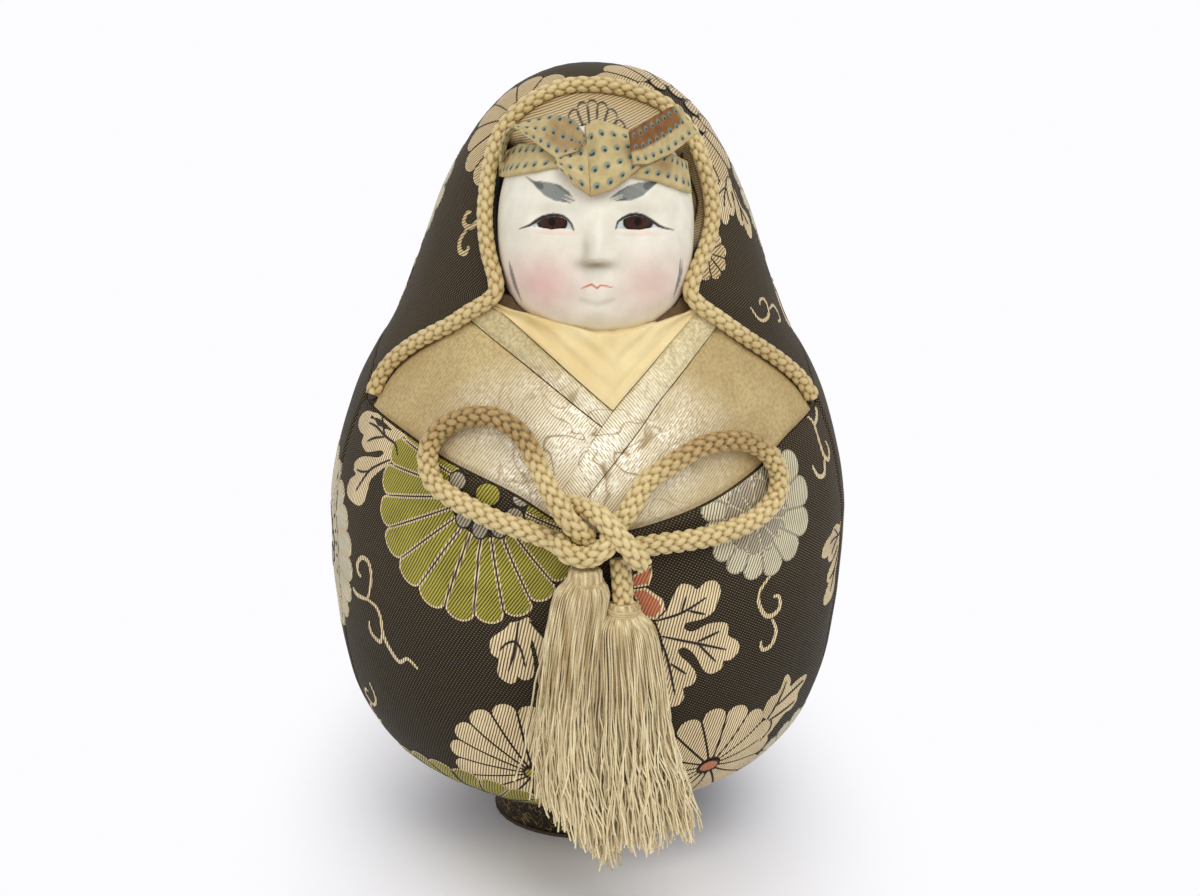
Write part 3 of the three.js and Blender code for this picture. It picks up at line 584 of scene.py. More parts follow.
# %% [markdown]
# The chest cloth is lame: flat metal-wrapped threads laid side by side on silk. Near the middle the threads
# are still bright and throw silver glints. Towards the shoulders age has stained the silk a dull tan.

# %% Gold lame
LAME_PITCH = 0.7


def weave_lame(name, thread_turn, dull, pale):
    material, tree = new_finish(name)
    threads = add_node(tree, "ShaderNodeUVMap", uv_map="threads")
    place = add_node(tree, "ShaderNodeTexCoord")
    run = add_node(tree, "ShaderNodeMapping",
                   {"Vector": threads, "Rotation": (0, 0, math.radians(thread_turn))})
    lines = add_node(tree, "ShaderNodeTexWave",
                     {"Vector": run, "Scale": wave_scale(LAME_PITCH), "Distortion": 1.0, "Detail": 1.0},
                     bands_direction="X")
    near_middle = add_node(tree, "ShaderNodeMapping",
                           {"Vector": place.outputs["Object"], "Location": (0.06, 0, -4.68),
                            "Scale": (1 / 0.044, 0, 1 / 0.028)})
    spread = add_node(tree, "ShaderNodeVectorMath", {0: near_middle}, operation="LENGTH")
    middle = add_node(tree, "ShaderNodeValToRGB", {"Fac": spread}, stops=[(0.3, WHITE), (1.05, BLACK)])
    streak_map = add_node(tree, "ShaderNodeMapping",
                          {"Vector": run, "Scale": (1.0, 0.3, 1.0)})
    streaks = add_node(tree, "ShaderNodeTexNoise",
                       {"Vector": streak_map, "Scale": noise_scale(0.45), "Detail": 1.0})
    streak_mask = add_node(tree, "ShaderNodeValToRGB", {"Fac": streaks}, stops=[(0.46, BLACK), (0.58, WHITE)])
    clouds = add_node(tree, "ShaderNodeTexNoise",
                      {"Vector": place.outputs["Object"], "Scale": noise_scale(9), "Detail": 4.0})
    cloud_mask = add_node(tree, "ShaderNodeValToRGB", {"Fac": clouds}, stops=[(0.34, BLACK), (0.56, WHITE)])
    glint_a = add_node(tree, "ShaderNodeMath", {0: middle, 1: cloud_mask}, operation="MULTIPLY")
    glint_b = add_node(tree, "ShaderNodeMath", {0: glint_a, 1: streak_mask}, operation="MULTIPLY")
    stain = add_node(tree, "ShaderNodeTexNoise",
                     {"Vector": place.outputs["Object"], "Scale": noise_scale(22), "Detail": 6.0,
                      "Roughness": 0.65})
    old_tone = add_node(tree, "ShaderNodeValToRGB", {"Fac": stain}, stops=[(0.3, dull), (0.66, pale)])
    fuzz = add_node(tree, "ShaderNodeTexNoise",
                    {"Vector": place.outputs["Object"], "Scale": noise_scale(0.9), "Detail": 3.0})
    fuzz_share = add_node(tree, "ShaderNodeMapRange",
                          {"Value": fuzz, "From Min": 0.4, "From Max": 0.62, "To Max": 0.45})
    worn_tone = add_node(tree, "ShaderNodeMix",
                         {"Factor": fuzz_share, "A": old_tone, "B": "#8d7346"}, data_type="RGBA")
    crisp = add_node(tree, "ShaderNodeValToRGB", {"Fac": lines}, stops=[(0.2, BLACK), (0.5, WHITE)])
    line_tone = add_node(tree, "ShaderNodeMix",
                         {"Factor": crisp, "A": "#b69f70", "B": "#fdf6dc"},
                         data_type="RGBA")
    swirl = add_node(tree, "ShaderNodeTexNoise",
                     {"Vector": place.outputs["Object"], "Scale": noise_scale(11), "Detail": 1.0,
                      "Distortion": 1.2})
    swirl_line = add_node(tree, "ShaderNodeValToRGB", {"Fac": swirl},
                          stops=[(0.47, BLACK), (0.5, WHITE), (0.53, BLACK)])
    swirl_share = add_node(tree, "ShaderNodeMath", {0: swirl_line, 1: middle}, operation="MULTIPLY")
    swirl_soft = add_node(tree, "ShaderNodeMath", {0: swirl_share, 1: 0.85}, operation="MULTIPLY")
    fresh = add_node(tree, "ShaderNodeMath", {0: middle, 1: 0.84, 2: 0.06}, operation="MULTIPLY_ADD")
    cloth_tone = add_node(tree, "ShaderNodeMix",
                          {"Factor": fresh, "A": worn_tone, "B": line_tone},
                          data_type="RGBA")
    glinting = add_node(tree, "ShaderNodeMix",
                        {"Factor": glint_b, "A": cloth_tone, "B": "#fbf5e2"}, data_type="RGBA")
    colour = add_node(tree, "ShaderNodeMix",
                      {"Factor": swirl_soft, "A": glinting, "B": "#94733f"}, data_type="RGBA")
    shine = add_node(tree, "ShaderNodeMath", {0: glint_b, 1: 0.5, 2: 0.05}, operation="MULTIPLY_ADD")
    matt = add_node(tree, "ShaderNodeMath", {0: glint_b, 1: -0.38, 2: 0.68}, operation="MULTIPLY_ADD")
    bump = add_node(tree, "ShaderNodeBump",
                    {"Strength": 0.4, "Distance": 0.12 * MM, "Height": lines})
    shader = add_node(tree, "ShaderNodeBsdfPrincipled",
                      {"Base Color": colour, "Roughness": matt, "Metallic": shine, "Normal": bump})
    add_node(tree, "ShaderNodeOutputMaterial", {"Surface": shader})
    return material


gold_cloth = weave_lame("gold_lame", 38, "#b0925a", "#d0ba80")
under_band_cloth = weave_lame("gold_lame_bias_worn", -40, "#b29c66", "#d8c996")
band_cloth = weave_lame("gold_lame_bias", -40, "#d2be88", "#f8eec2")
print("lame threads every", LAME_PITCH, "mm")

# %% [markdown]
# The inner collar is cream silk crepe, matt and finely crinkled. The headband is printed cotton: blue-green
# dots, each with a dark middle, on cream, and tea-brown stains.

# %% Crepe and dotted cotton
crepe, tree = new_finish("cream_silk_crepe")
place = add_node(tree, "ShaderNodeTexCoord")
crinkle_map = add_node(tree, "ShaderNodeMapping",
                       {"Vector": place.outputs["Object"], "Scale": (1.0, 1.0, 0.35)})
crinkle = add_node(tree, "ShaderNodeTexNoise",
                   {"Vector": crinkle_map, "Scale": noise_scale(1.1), "Detail": 4.0})
age = add_node(tree, "ShaderNodeTexNoise",
               {"Vector": place.outputs["Object"], "Scale": noise_scale(14), "Detail": 4.0})
crepe_tone = add_node(tree, "ShaderNodeValToRGB", {"Fac": age}, stops=[(0.3, "#dfc385"), (0.65, "#f0dda8")])
crepe_bump = add_node(tree, "ShaderNodeBump",
                      {"Strength": 0.35, "Distance": 0.25 * MM, "Height": crinkle})
shader = add_node(tree, "ShaderNodeBsdfPrincipled",
                  {"Base Color": crepe_tone, "Roughness": 0.82, "Sheen Weight": 0.1, "Normal": crepe_bump})
add_node(tree, "ShaderNodeOutputMaterial", {"Surface": shader})

DOT_ACROSS = 2.95
DOT_UP = 3.6
dotted, tree = new_finish("dotted_cotton_print")
threads = add_node(tree, "ShaderNodeUVMap", uv_map="threads")
cells = add_node(tree, "ShaderNodeVectorMath",
                 {0: threads, 1: (1 / (DOT_ACROSS * MM), 1 / (DOT_UP * MM), 0)}, operation="MULTIPLY")
cell = add_node(tree, "ShaderNodeVectorMath", {0: cells}, operation="FRACTION")
centred = add_node(tree, "ShaderNodeVectorMath", {0: cell, 1: (0.5, 0.5, 0)}, operation="SUBTRACT")
spread_mm = add_node(tree, "ShaderNodeVectorMath",
                     {0: centred, 1: (DOT_ACROSS, DOT_UP, 0)}, operation="MULTIPLY")
dot_reach = add_node(tree, "ShaderNodeVectorMath", {0: spread_mm}, operation="LENGTH")
pip_place = add_node(tree, "ShaderNodeVectorMath", {0: spread_mm, 1: (0.1, -0.28, 0)}, operation="SUBTRACT")
pip_reach = add_node(tree, "ShaderNodeVectorMath", {0: pip_place}, operation="LENGTH")
dot_mask = add_node(tree, "ShaderNodeValToRGB", {"Fac": dot_reach}, stops=[(0.6, WHITE), (1.0, BLACK)])
pip_mask = add_node(tree, "ShaderNodeValToRGB", {"Fac": pip_reach}, stops=[(0.26, WHITE), (0.48, BLACK)])
stain = add_node(tree, "ShaderNodeAttribute", attribute_name="stain")
mottle = add_node(tree, "ShaderNodeTexNoise",
                  {"Vector": threads, "Scale": noise_scale(3), "Detail": 5.0})
cream = add_node(tree, "ShaderNodeValToRGB", {"Fac": mottle}, stops=[(0.3, "#b5a06c"), (0.65, "#cfbb87")])
tea = add_node(tree, "ShaderNodeValToRGB", {"Fac": mottle}, stops=[(0.3, "#6e4620"), (0.65, "#8b5e2b")])
stained = add_node(tree, "ShaderNodeMix", {"Factor": stain, "A": cream, "B": tea}, data_type="RGBA")
ring_share = add_node(tree, "ShaderNodeMath", {0: dot_mask, 1: 0.8}, operation="MULTIPLY")
ringed = add_node(tree, "ShaderNodeMix",
                  {"Factor": ring_share, "A": stained, "B": "#72877c"},
                  data_type="RGBA")
pipped = add_node(tree, "ShaderNodeMix",
                  {"Factor": pip_mask, "A": ringed, "B": "#2b3534"}, data_type="RGBA")
weave_x = add_node(tree, "ShaderNodeTexWave",
                   {"Vector": threads, "Scale": wave_scale(0.5)}, bands_direction="X")
weave_y = add_node(tree, "ShaderNodeTexWave",
                   {"Vector": threads, "Scale": wave_scale(0.5)}, bands_direction="Y")
weave = add_node(tree, "ShaderNodeMath", {0: weave_x, 1: weave_y}, operation="ADD")
cotton_bump = add_node(tree, "ShaderNodeBump", {"Strength": 0.3, "Distance": 0.1 * MM, "Height": weave})
shader = add_node(tree, "ShaderNodeBsdfPrincipled",
                  {"Base Color": pipped, "Roughness": 0.85, "Normal": cotton_bump})
add_node(tree, "ShaderNodeOutputMaterial", {"Surface": shader})
print("crepe and dotted cotton")

# %% [markdown]
# The cords are braided from bundles of rayon floss, and the tassels are twisted rayon yarn. Both have a soft
# silky shine and are stained darker where hands and dust reach them. The creases between the braid's grains
# are darkened as painted shade, and the tassels are darker towards the top. The tone is stored on the mesh
# itself.

# %% Cord, yarn and thread
def spin_rayon(name, fresh, aged, grain_mm, roughness):
    material, tree = new_finish(name)
    tone = add_node(tree, "ShaderNodeAttribute", attribute_name="tone")
    place = add_node(tree, "ShaderNodeTexCoord")
    fibre = add_node(tree, "ShaderNodeTexNoise",
                     {"Vector": place.outputs["Object"], "Scale": noise_scale(grain_mm), "Detail": 4.0})
    drift = add_node(tree, "ShaderNodeMath", {0: fibre, 1: 0.5, 2: -0.25}, operation="MULTIPLY_ADD")
    age_and_shade_share = add_node(tree, "ShaderNodeMath", {0: tone, 1: drift}, operation="ADD",
                          use_clamp=True)
    # The darkest stop is painted shade in the creases between the braid's grains, as well as the deepest
    # stain.
    colour = add_node(tree, "ShaderNodeValToRGB", {"Fac": age_and_shade_share},
                      stops=[(0.0, fresh), (0.6, aged), (1.0, "#674f25")])
    bump = add_node(tree, "ShaderNodeBump", {"Strength": 0.3, "Distance": 0.15 * MM, "Height": fibre})
    shader = add_node(tree, "ShaderNodeBsdfPrincipled",
                      {"Base Color": colour, "Roughness": roughness, "Sheen Weight": 0.2, "Normal": bump})
    add_node(tree, "ShaderNodeOutputMaterial", {"Surface": shader})
    return material


rayon_cord = spin_rayon("braided_rayon_cord", "#e2cd92", "#a78546", 0.5, 0.34)
rayon_yarn = spin_rayon("twisted_rayon_yarn", "#faeabd", "#ac8f56", 0.4, 0.4)
wound_thread = spin_rayon("wound_cotton_thread", "#e6d6a2", "#ab9360", 0.3, 0.7)
print("cord, yarn and thread")

# %% [markdown]
# The head is wood paste under many coats of ground-shell white, rubbed smooth: chalky, with a faint polish.
# Its painted features are stored as a colour on each point. The eyes are lacquered, so they keep a wet
# shine.

# %% Head paint, eyes and hidden materials
shell_white, tree = new_finish("ground_shell_white")
paint = add_node(tree, "ShaderNodeAttribute", attribute_name="paint")
place = add_node(tree, "ShaderNodeTexCoord")
brush = add_node(tree, "ShaderNodeTexNoise",
                 {"Vector": place.outputs["Object"], "Scale": noise_scale(5), "Detail": 5.0})
chalk = add_node(tree, "ShaderNodeValToRGB", {"Fac": brush}, stops=[(0.35, "#f4f2e4"), (0.65, "#fefef2")])
painted = add_node(tree, "ShaderNodeMix",
                   {"Factor": 1.0, "A": paint, "B": chalk}, data_type="RGBA", blend_type="MULTIPLY")
chalk_bump = add_node(tree, "ShaderNodeBump", {"Strength": 0.05, "Distance": 0.2 * MM, "Height": brush})
shader = add_node(tree, "ShaderNodeBsdfPrincipled",
                  {"Base Color": painted, "Roughness": 0.48, "Specular IOR Level": 0.4, "Normal": chalk_bump})
add_node(tree, "ShaderNodeOutputMaterial", {"Surface": shader})

lacquer, tree = new_finish("lacquered_eye")
paint = add_node(tree, "ShaderNodeAttribute", attribute_name="paint")
place = add_node(tree, "ShaderNodeTexCoord")
fleck = add_node(tree, "ShaderNodeTexNoise", {"Vector": place.outputs["Object"], "Scale": noise_scale(0.8)})
fleck_tone = add_node(tree, "ShaderNodeValToRGB", {"Fac": fleck}, stops=[(0.3, "#d8d8d8"), (0.7, "#ffffff")])
eye_tone = add_node(tree, "ShaderNodeMix",
                    {"Factor": 1.0, "A": paint, "B": fleck_tone}, data_type="RGBA",
                    blend_type="MULTIPLY")
shader = add_node(tree, "ShaderNodeBsdfPrincipled",
                  {"Base Color": eye_tone, "Roughness": 0.28, "Specular IOR Level": 0.12})
add_node(tree, "ShaderNodeOutputMaterial", {"Surface": shader})


def plain_stuff(name, dark, pale, grain, grain_mm, roughness):
    material, tree = new_finish(name)
    place = add_node(tree, "ShaderNodeTexCoord")
    stretch = add_node(tree, "ShaderNodeMapping", {"Vector": place.outputs["Object"], "Scale": grain})
    figure = add_node(tree, "ShaderNodeTexNoise",
                      {"Vector": stretch, "Scale": noise_scale(grain_mm), "Detail": 6.0})
    tone = add_node(tree, "ShaderNodeValToRGB", {"Fac": figure}, stops=[(0.3, dark), (0.7, pale)])
    bump = add_node(tree, "ShaderNodeBump", {"Strength": 0.3, "Distance": 0.2 * MM, "Height": figure})
    shader = add_node(tree, "ShaderNodeBsdfPrincipled",
                      {"Base Color": tone, "Roughness": roughness, "Normal": bump})
    add_node(tree, "ShaderNodeOutputMaterial", {"Surface": shader})
    return material


# The paste is darker than its own light tan: painted shade in the seams where it shows.
seam_shade_paste = plain_stuff("pressed_wood_paste", "#5a4630", "#6f5838", (1, 1, 1), 1.5, 0.95)
cedar = plain_stuff("turned_cedar", "#8d6a41", "#b58f5e", (1, 0.15, 1), 2.0, 0.7)
felt = plain_stuff("brown_felt", "#3b2f25", "#5a4a39", (1, 1, 1), 0.7, 0.95)
print("head paint, lacquer and the hidden materials")

# %% [markdown]
# The front and back panels run from the foot up to the chest and to the hood's seam, and meet at the two
# side seams. Both are laid by the turn round the body and the height, so that their edges follow the seams
# exactly.

# %% Front and back panels
SIDE_SEAM_Y = -20.0
BACK_SEAM = cubic_line(((-20.8, 138.5), (-6.8, 156.5), (15.2, 163.5), (130.0, 163.5)), 40)
BACK_SEAM_Y = [y for y, _ in BACK_SEAM]
BACK_SEAM_Z = [z for _, z in BACK_SEAM]
CLOTH_ROUND = 72.0
RIPPLE_DEPTH = 0.28
RIPPLE_FINENESS = 0.08


def seam_turn(z):
    return math.acos(min(1.0, -SIDE_SEAM_Y / (DEPTH_RATIO * radius_at(z))))


chest_turns = [turn_at(x, z) for x, z in CHEST_EDGE]
chest_heights = [z for _, z in CHEST_EDGE]


def chest_edge_height(turn):
    return look_up(chest_turns, chest_heights, turn)


def back_seam_height(turn):
    z = 150.0
    for _ in range(12):
        z = look_up(BACK_SEAM_Y, BACK_SEAM_Z, -DEPTH_RATIO * radius_at(z) * math.cos(turn))
    return z


def ripple(place):
    return RIPPLE_DEPTH * noise.noise(place * RIPPLE_FINENESS)


def front_reach(turn, z):
    sideways = (seam_turn(z) - abs(turn)) * radius_at(z)
    return min(sideways, chest_edge_height(turn) - z, z - FOOT_TOP)


def back_reach(turn, z):
    sideways = (min(turn, 2 * math.pi - turn) - seam_turn(z)) * radius_at(z)
    return min(sideways, back_seam_height(turn) - z, z - FOOT_TOP)


def front_rule(u, v):
    edge = seam_turn(137.0)
    top = chest_edge_height(-edge + 2 * edge * u) - SEAM_GAP
    bottom = FOOT_TOP + 0.4
    z = bottom + (top - bottom) * v
    side = seam_turn(z) - SEAM_GAP / radius_at(z)
    turn = -side + 2 * side * u
    lift = tuck(front_reach(turn, z)) + ripple(on_body(turn, z))
    return on_body(turn, z, lift), (turn * CLOTH_ROUND, arc_at(z))


def back_rule(u, v):
    edge = seam_turn(139.0)
    top = back_seam_height(edge + (2 * math.pi - 2 * edge) * u) - SEAM_GAP
    bottom = FOOT_TOP + 0.4
    z = bottom + (top - bottom) * v
    side = seam_turn(z) + SEAM_GAP / radius_at(z)
    turn = side + (2 * math.pi - 2 * side) * u
    lift = tuck(back_reach(turn, z)) + ripple(on_body(turn, z))
    return on_body(turn, z, lift), (turn * CLOTH_ROUND, arc_at(z))


front_panel = lay_cloth("front_panel_cloth", 140, 90, front_rule, twill, "brocade", "front_panel")
back_panel = lay_cloth("back_panel_cloth", 170, 90, back_rule, twill, "brocade", "back_panel")
print("front and back panels:", len(front_panel.data.polygons), len(back_panel.data.polygons), "faces")

# %% [markdown]
# The hood is one cloth from the cord's line over the crown to the seam at the back. Its grid runs between
# those two lines: each point is aimed from a place inside the head and pushed out to the body.

# %% Hood
HOOD_MIDDLE = Vector((0, 0, 168.0))


def hood_front(share):
    x, z = along(HOOD_LINE, share)
    return on_front(x, min(z, 225.5))


def hood_back(share):
    edge = seam_turn(139.5)
    turn = edge + (2 * math.pi - 2 * edge) * share
    return on_body(turn, back_seam_height(turn) + SEAM_GAP)


def hood_rule(u, v):
    start = hood_front(u) - HOOD_MIDDLE
    end = hood_back(u) - HOOD_MIDDLE
    width = start.angle(end) * 60
    direction = start.normalized().slerp(end.normalized(), v)
    reach = min((1 - v) * width, v * width + 1.2)
    place = from_inside(HOOD_MIDDLE, direction)
    return place + direction * (tuck(reach) + ripple(place)), ((u - 0.5) * 330, v * width)


hood_panel = lay_cloth("hood_cloth", 150, 70, hood_rule, twill, "brocade", "hood_panel",
                       middle=HOOD_MIDDLE * MM, strength=0.6)
print("hood:", len(hood_panel.data.polygons), "faces")

# %% [markdown]
# The chest is two pieces of gold cloth and two collar bands, the right one over the left. Each lies between
# two lines, an upper and a lower one, and its grid is ruled from one to the other.

# %% Chest cloth and collar bands
BAND_LIFT = 0.25


def ruled(upper, lower, lift=0.0):
    def rule(u, v):
        top, bottom = along(upper, u), along(lower, u)
        height = math.dist(top, bottom)
        width = max(math.dist(along(upper, 0), along(upper, 1)), 1.0)
        gap = min(0.45, SEAM_GAP / max(height, 0.01))
        share = gap + (1 - 2 * gap) * v
        x = bottom[0] + (top[0] - bottom[0]) * share
        z = bottom[1] + (top[1] - bottom[1]) * share
        reach = min(height * v, height * (1 - v), u * width + 0.3, (1 - u) * width + 0.3)
        return on_front(x, z, tuck(reach) + lift), (x, z)
    return rule


left_upper = (up_to(HOOD_LEFT, LEFT_BAND_OUTER)
              + up_to(after(LEFT_BAND_OUTER, HOOD_LEFT), RIGHT_BAND_INNER)[1:])
left_lower = up_to(CHEST_EDGE[2:], RIGHT_BAND_INNER)
right_upper = (up_to(HOOD_RIGHT, RIGHT_BAND_OUTER)
               + up_to(after(RIGHT_BAND_OUTER, HOOD_RIGHT), CHEST_EDGE)[1:])
right_lower = up_to(CHEST_EDGE[::-1][2:], RIGHT_BAND_OUTER)
left_band_rule = ruled(
    up_to(after(LEFT_BAND_INNER, HOOD_LEFT), RIGHT_BAND_INNER),
    up_to(after(LEFT_BAND_OUTER, HOOD_LEFT), RIGHT_BAND_INNER), BAND_LIFT)
right_band_rule = ruled(
    up_to(after(RIGHT_BAND_INNER, HOOD_RIGHT), CHEST_EDGE),
    up_to(after(RIGHT_BAND_OUTER, HOOD_RIGHT), CHEST_EDGE), BAND_LIFT)
chest_left = lay_cloth("chest_left_cloth", 90, 50, ruled(left_upper, left_lower), gold_cloth, "gold_cloth",
                       "chest_left_panel", strength=0.6)
chest_right = lay_cloth("chest_right_cloth", 90, 50, ruled(right_upper, right_lower), gold_cloth,
                        "gold_cloth", "chest_right_panel", strength=0.6)
band_left = lay_cloth("collar_left_cloth", 80, 12, left_band_rule, under_band_cloth, "gold_cloth",
                      "collar_left_band", strength=0.6)
band_right = lay_cloth("collar_right_cloth", 90, 12, right_band_rule, band_cloth, "gold_cloth",
                       "collar_right_band", strength=0.6)
print("chest cloth and collar bands made")

# %% [markdown]
# The head is a rounded form that is flatter in front than a ball, with soft bumps for the nose, mouth, chin
# and cheeks, and two almond-shaped hollows for the eyes. The front grid is fine, because each of its points
# also carries the paint. All places on the face are given across and up from the middle of the head.

# %% Shape of the head
HEAD_AT = Vector((0, on_body(0, 190.0).y + 14.0, 190.0))
HEAD_HALF_WIDTH = 27.0
HEAD_REACH = 31.0
HEAD_WIDEST_DROP = 4.0
HEAD_SQUARENESS = 2.35
HEAD_FRONT = 26.0
HEAD_BACK = 20.0


def bump(x, z, width, height):
    return math.exp(-(x / width) ** 2 - (z / height) ** 2)


def relief(x, z):
    side = abs(x)
    bridge = between(-9, 7, -z) * (1.0 if z > -7 else bump(0, z + 7, 1, 2.2))
    return (5.0 * bridge * bump(x, 0, 3.1, 1)
            + 1.1 * bump(side - 2.9, z + 8.2, 1.7, 1.8)
            + 1.6 * bump(x, z + 16, 7, 4)
            + 2.4 * bump(x, z + 23, 8, 4.5)
            + 1.2 * bump(side - 15, z + 11, 7, 9)
            - 1.1 * bump(side - 11.5, z - 2.3, 6, 3.5))


def head_front(x, z, lift=0.0):
    across = x / (HEAD_HALF_WIDTH + lift)
    up = (z + HEAD_WIDEST_DROP) / (HEAD_REACH + lift)
    rim = min(1.0, (abs(across) ** HEAD_SQUARENESS + abs(up) ** HEAD_SQUARENESS) ** (1 / HEAD_SQUARENESS))
    power = 2.75 - 0.45 * rim * up / max(math.hypot(across, up), 1e-6)
    bulge = (1 - rim ** power) ** (1 / power)
    fade = min(1.0, 4 * (1 - rim * rim))
    return HEAD_AT + Vector((x, -(HEAD_FRONT + lift) * bulge - relief(x, z) * fade, z))


def line_height(line, x):
    return look_up([p[0] for p in line], [p[1] for p in line], x)


EYES = {
    "left": {
        "upper": [(-17.6, -0.5), (-16.1, 0.8), (-14.5, 2.0), (-11.8, 2.7), (-9.5, 2.5), (-8.1, 1.8),
                  (-6.6, -0.6)],
        "lower": [(-17.6, -0.5), (-15.1, -0.6), (-12.3, -0.95), (-9.8, -0.6), (-6.6, -0.6)],
        "iris": (-12.1, 1.1),
    },
    "right": {
        "upper": [(4.7, -0.2), (5.3, 1.3), (6.4, 2.3), (8.1, 3.0), (9.9, 3.2), (11.8, 2.7), (13.9, 1.5),
                  (16.3, 0.0)],
        "lower": [(4.7, -0.2), (7.6, -0.5), (10.7, -0.75), (13.6, -0.3), (16.3, 0.0)],
        "iris": (10.5, 1.45),
    },
}
EYE_DEPTH = 0.9


def eye_opening(x, z):
    deepest = 0.0
    for eye in EYES.values():
        if eye["upper"][0][0] < x < eye["upper"][-1][0]:
            inside = min(line_height(eye["upper"], x) - z, z - line_height(eye["lower"], x))
            deepest = max(deepest, between(0.0, 0.45, inside))
    return deepest


print("head at", [round(v, 1) for v in HEAD_AT], "front of the nose", round(head_front(0, -7).y, 1))

# %% [markdown]
# The paint follows the brush. A stroke is a line with a changing width. The brows are grey with dark ends
# that split into hairs, the lids are black lines, the mouth is one thin red line, and the cheeks are a
# breath of pink. Soft painted shade lies in the eye sockets, under and beside the nose, under the lower lip
# and on the lower sides of the face.

# %% Face paint
def stroke(x, z, line, soft=0.14):
    best = 0.0
    for (ax, az, aw), (bx, bz, bw) in zip(line, line[1:]):
        dx, dz = bx - ax, bz - az
        share = min(1.0, max(0.0, ((x - ax) * dx + (z - az) * dz) / (dx * dx + dz * dz)))
        gap = math.hypot(x - ax - dx * share, z - az - dz * share)
        width = aw + (bw - aw) * share
        best = max(best, 1 - between(width - soft, width + soft, gap))
    return best


BROWS = [
    [(-19.1, 12.2, 0.1), (-17.2, 11.1, 0.3), (-15.5, 10.4, 1.1), (-13.2, 9.5, 1.85), (-11.0, 8.8, 2.1),
     (-9.0, 8.0, 1.6), (-7.6, 7.3, 1.0), (-6.6, 7.0, 0.4)],
    [(17.6, 12.7, 0.1), (15.2, 11.7, 0.4), (13.2, 10.9, 1.0), (10.7, 9.9, 1.8), (8.3, 9.1, 1.9),
     (6.0, 8.4, 1.4), (4.3, 7.8, 0.9), (3.2, 7.5, 0.4)],
]
BROW_DARK = [
    [(-19.1, 12.2, 0.15), (-17.2, 11.1, 0.4), (-15.2, 10.2, 0.8)],
    [(-11.2, 11.0, 0.25), (-8.7, 9.6, 0.45), (-6.4, 7.8, 0.2)],
    [(-9.2, 7.2, 0.3), (-7.2, 6.5, 0.25)],
    [(17.6, 12.7, 0.15), (15.0, 11.6, 0.5), (12.6, 10.7, 0.9)],
    [(7.6, 10.9, 0.25), (5.0, 9.4, 0.4), (2.8, 8.1, 0.2)],
    [(7.0, 7.6, 0.3), (4.8, 7.1, 0.3)],
]
BROW_SPLITS = [
    [(-9.0, 8.4, 0.08), (-6.2, 7.3, 0.3)],
    [(-9.4, 7.5, 0.08), (-6.6, 6.5, 0.3)],
    [(6.4, 8.7, 0.06), (2.8, 7.3, 0.24)],
    [(6.2, 8.0, 0.06), (3.6, 7.0, 0.2)],
]
LIDS = [
    [(-20.7, -1.2, 0.12), (-18.0, 0.0, 0.32), (-16.1, 1.3, 0.5), (-14.5, 2.3, 0.5), (-11.8, 3.0, 0.5),
     (-9.5, 2.8, 0.45), (-8.1, 2.0, 0.35), (-7.1, 0.9, 0.3), (-6.5, -0.6, 0.22)],
    [(4.6, 0.0, 0.2), (5.1, 1.7, 0.28), (6.4, 2.6, 0.36), (8.1, 3.3, 0.45), (9.9, 3.5, 0.5),
     (11.8, 3.0, 0.5), (13.9, 1.8, 0.5), (16.0, 0.4, 0.4), (17.5, -0.2, 0.28), (20.1, -0.9, 0.1)],
]
MOUTH = [(-4.4, -16.0, 0.1), (-2.7, -15.2, 0.24), (-1.6, -14.7, 0.26), (-0.1, -15.7, 0.24),
         (0.8, -14.9, 0.22), (2.3, -15.1, 0.2), (4.1, -15.6, 0.08)]
SIDE_HAIR = [
    [(-23.5, -10.2, 0.08), (-22.8, -13.6, 0.42), (-21.8, -17.1, 0.38), (-20.0, -21.2, 0.08)],
    [(-22.8, -11.6, 0.06), (-21.9, -15.4, 0.18), (-20.6, -19.0, 0.06)],
    [(22.2, -8.7, 0.08), (22.3, -12.8, 0.42), (21.7, -16.0, 0.38), (20.8, -19.6, 0.08)],
    [(22.9, -9.2, 0.06), (22.9, -12.6, 0.18), (22.1, -16.6, 0.06)],
]
UNDER_LIP_SHADOW = [(-4.2, -18.9, 0.5), (0.0, -20.0, 0.8), (4.2, -18.8, 0.5)]


def mix(base, colour, share):
    return tuple(b + (c - b) * share for b, c in zip(base, colour))


def most(x, z, lines, soft=0.14):
    return max(stroke(x, z, line, soft) for line in lines)


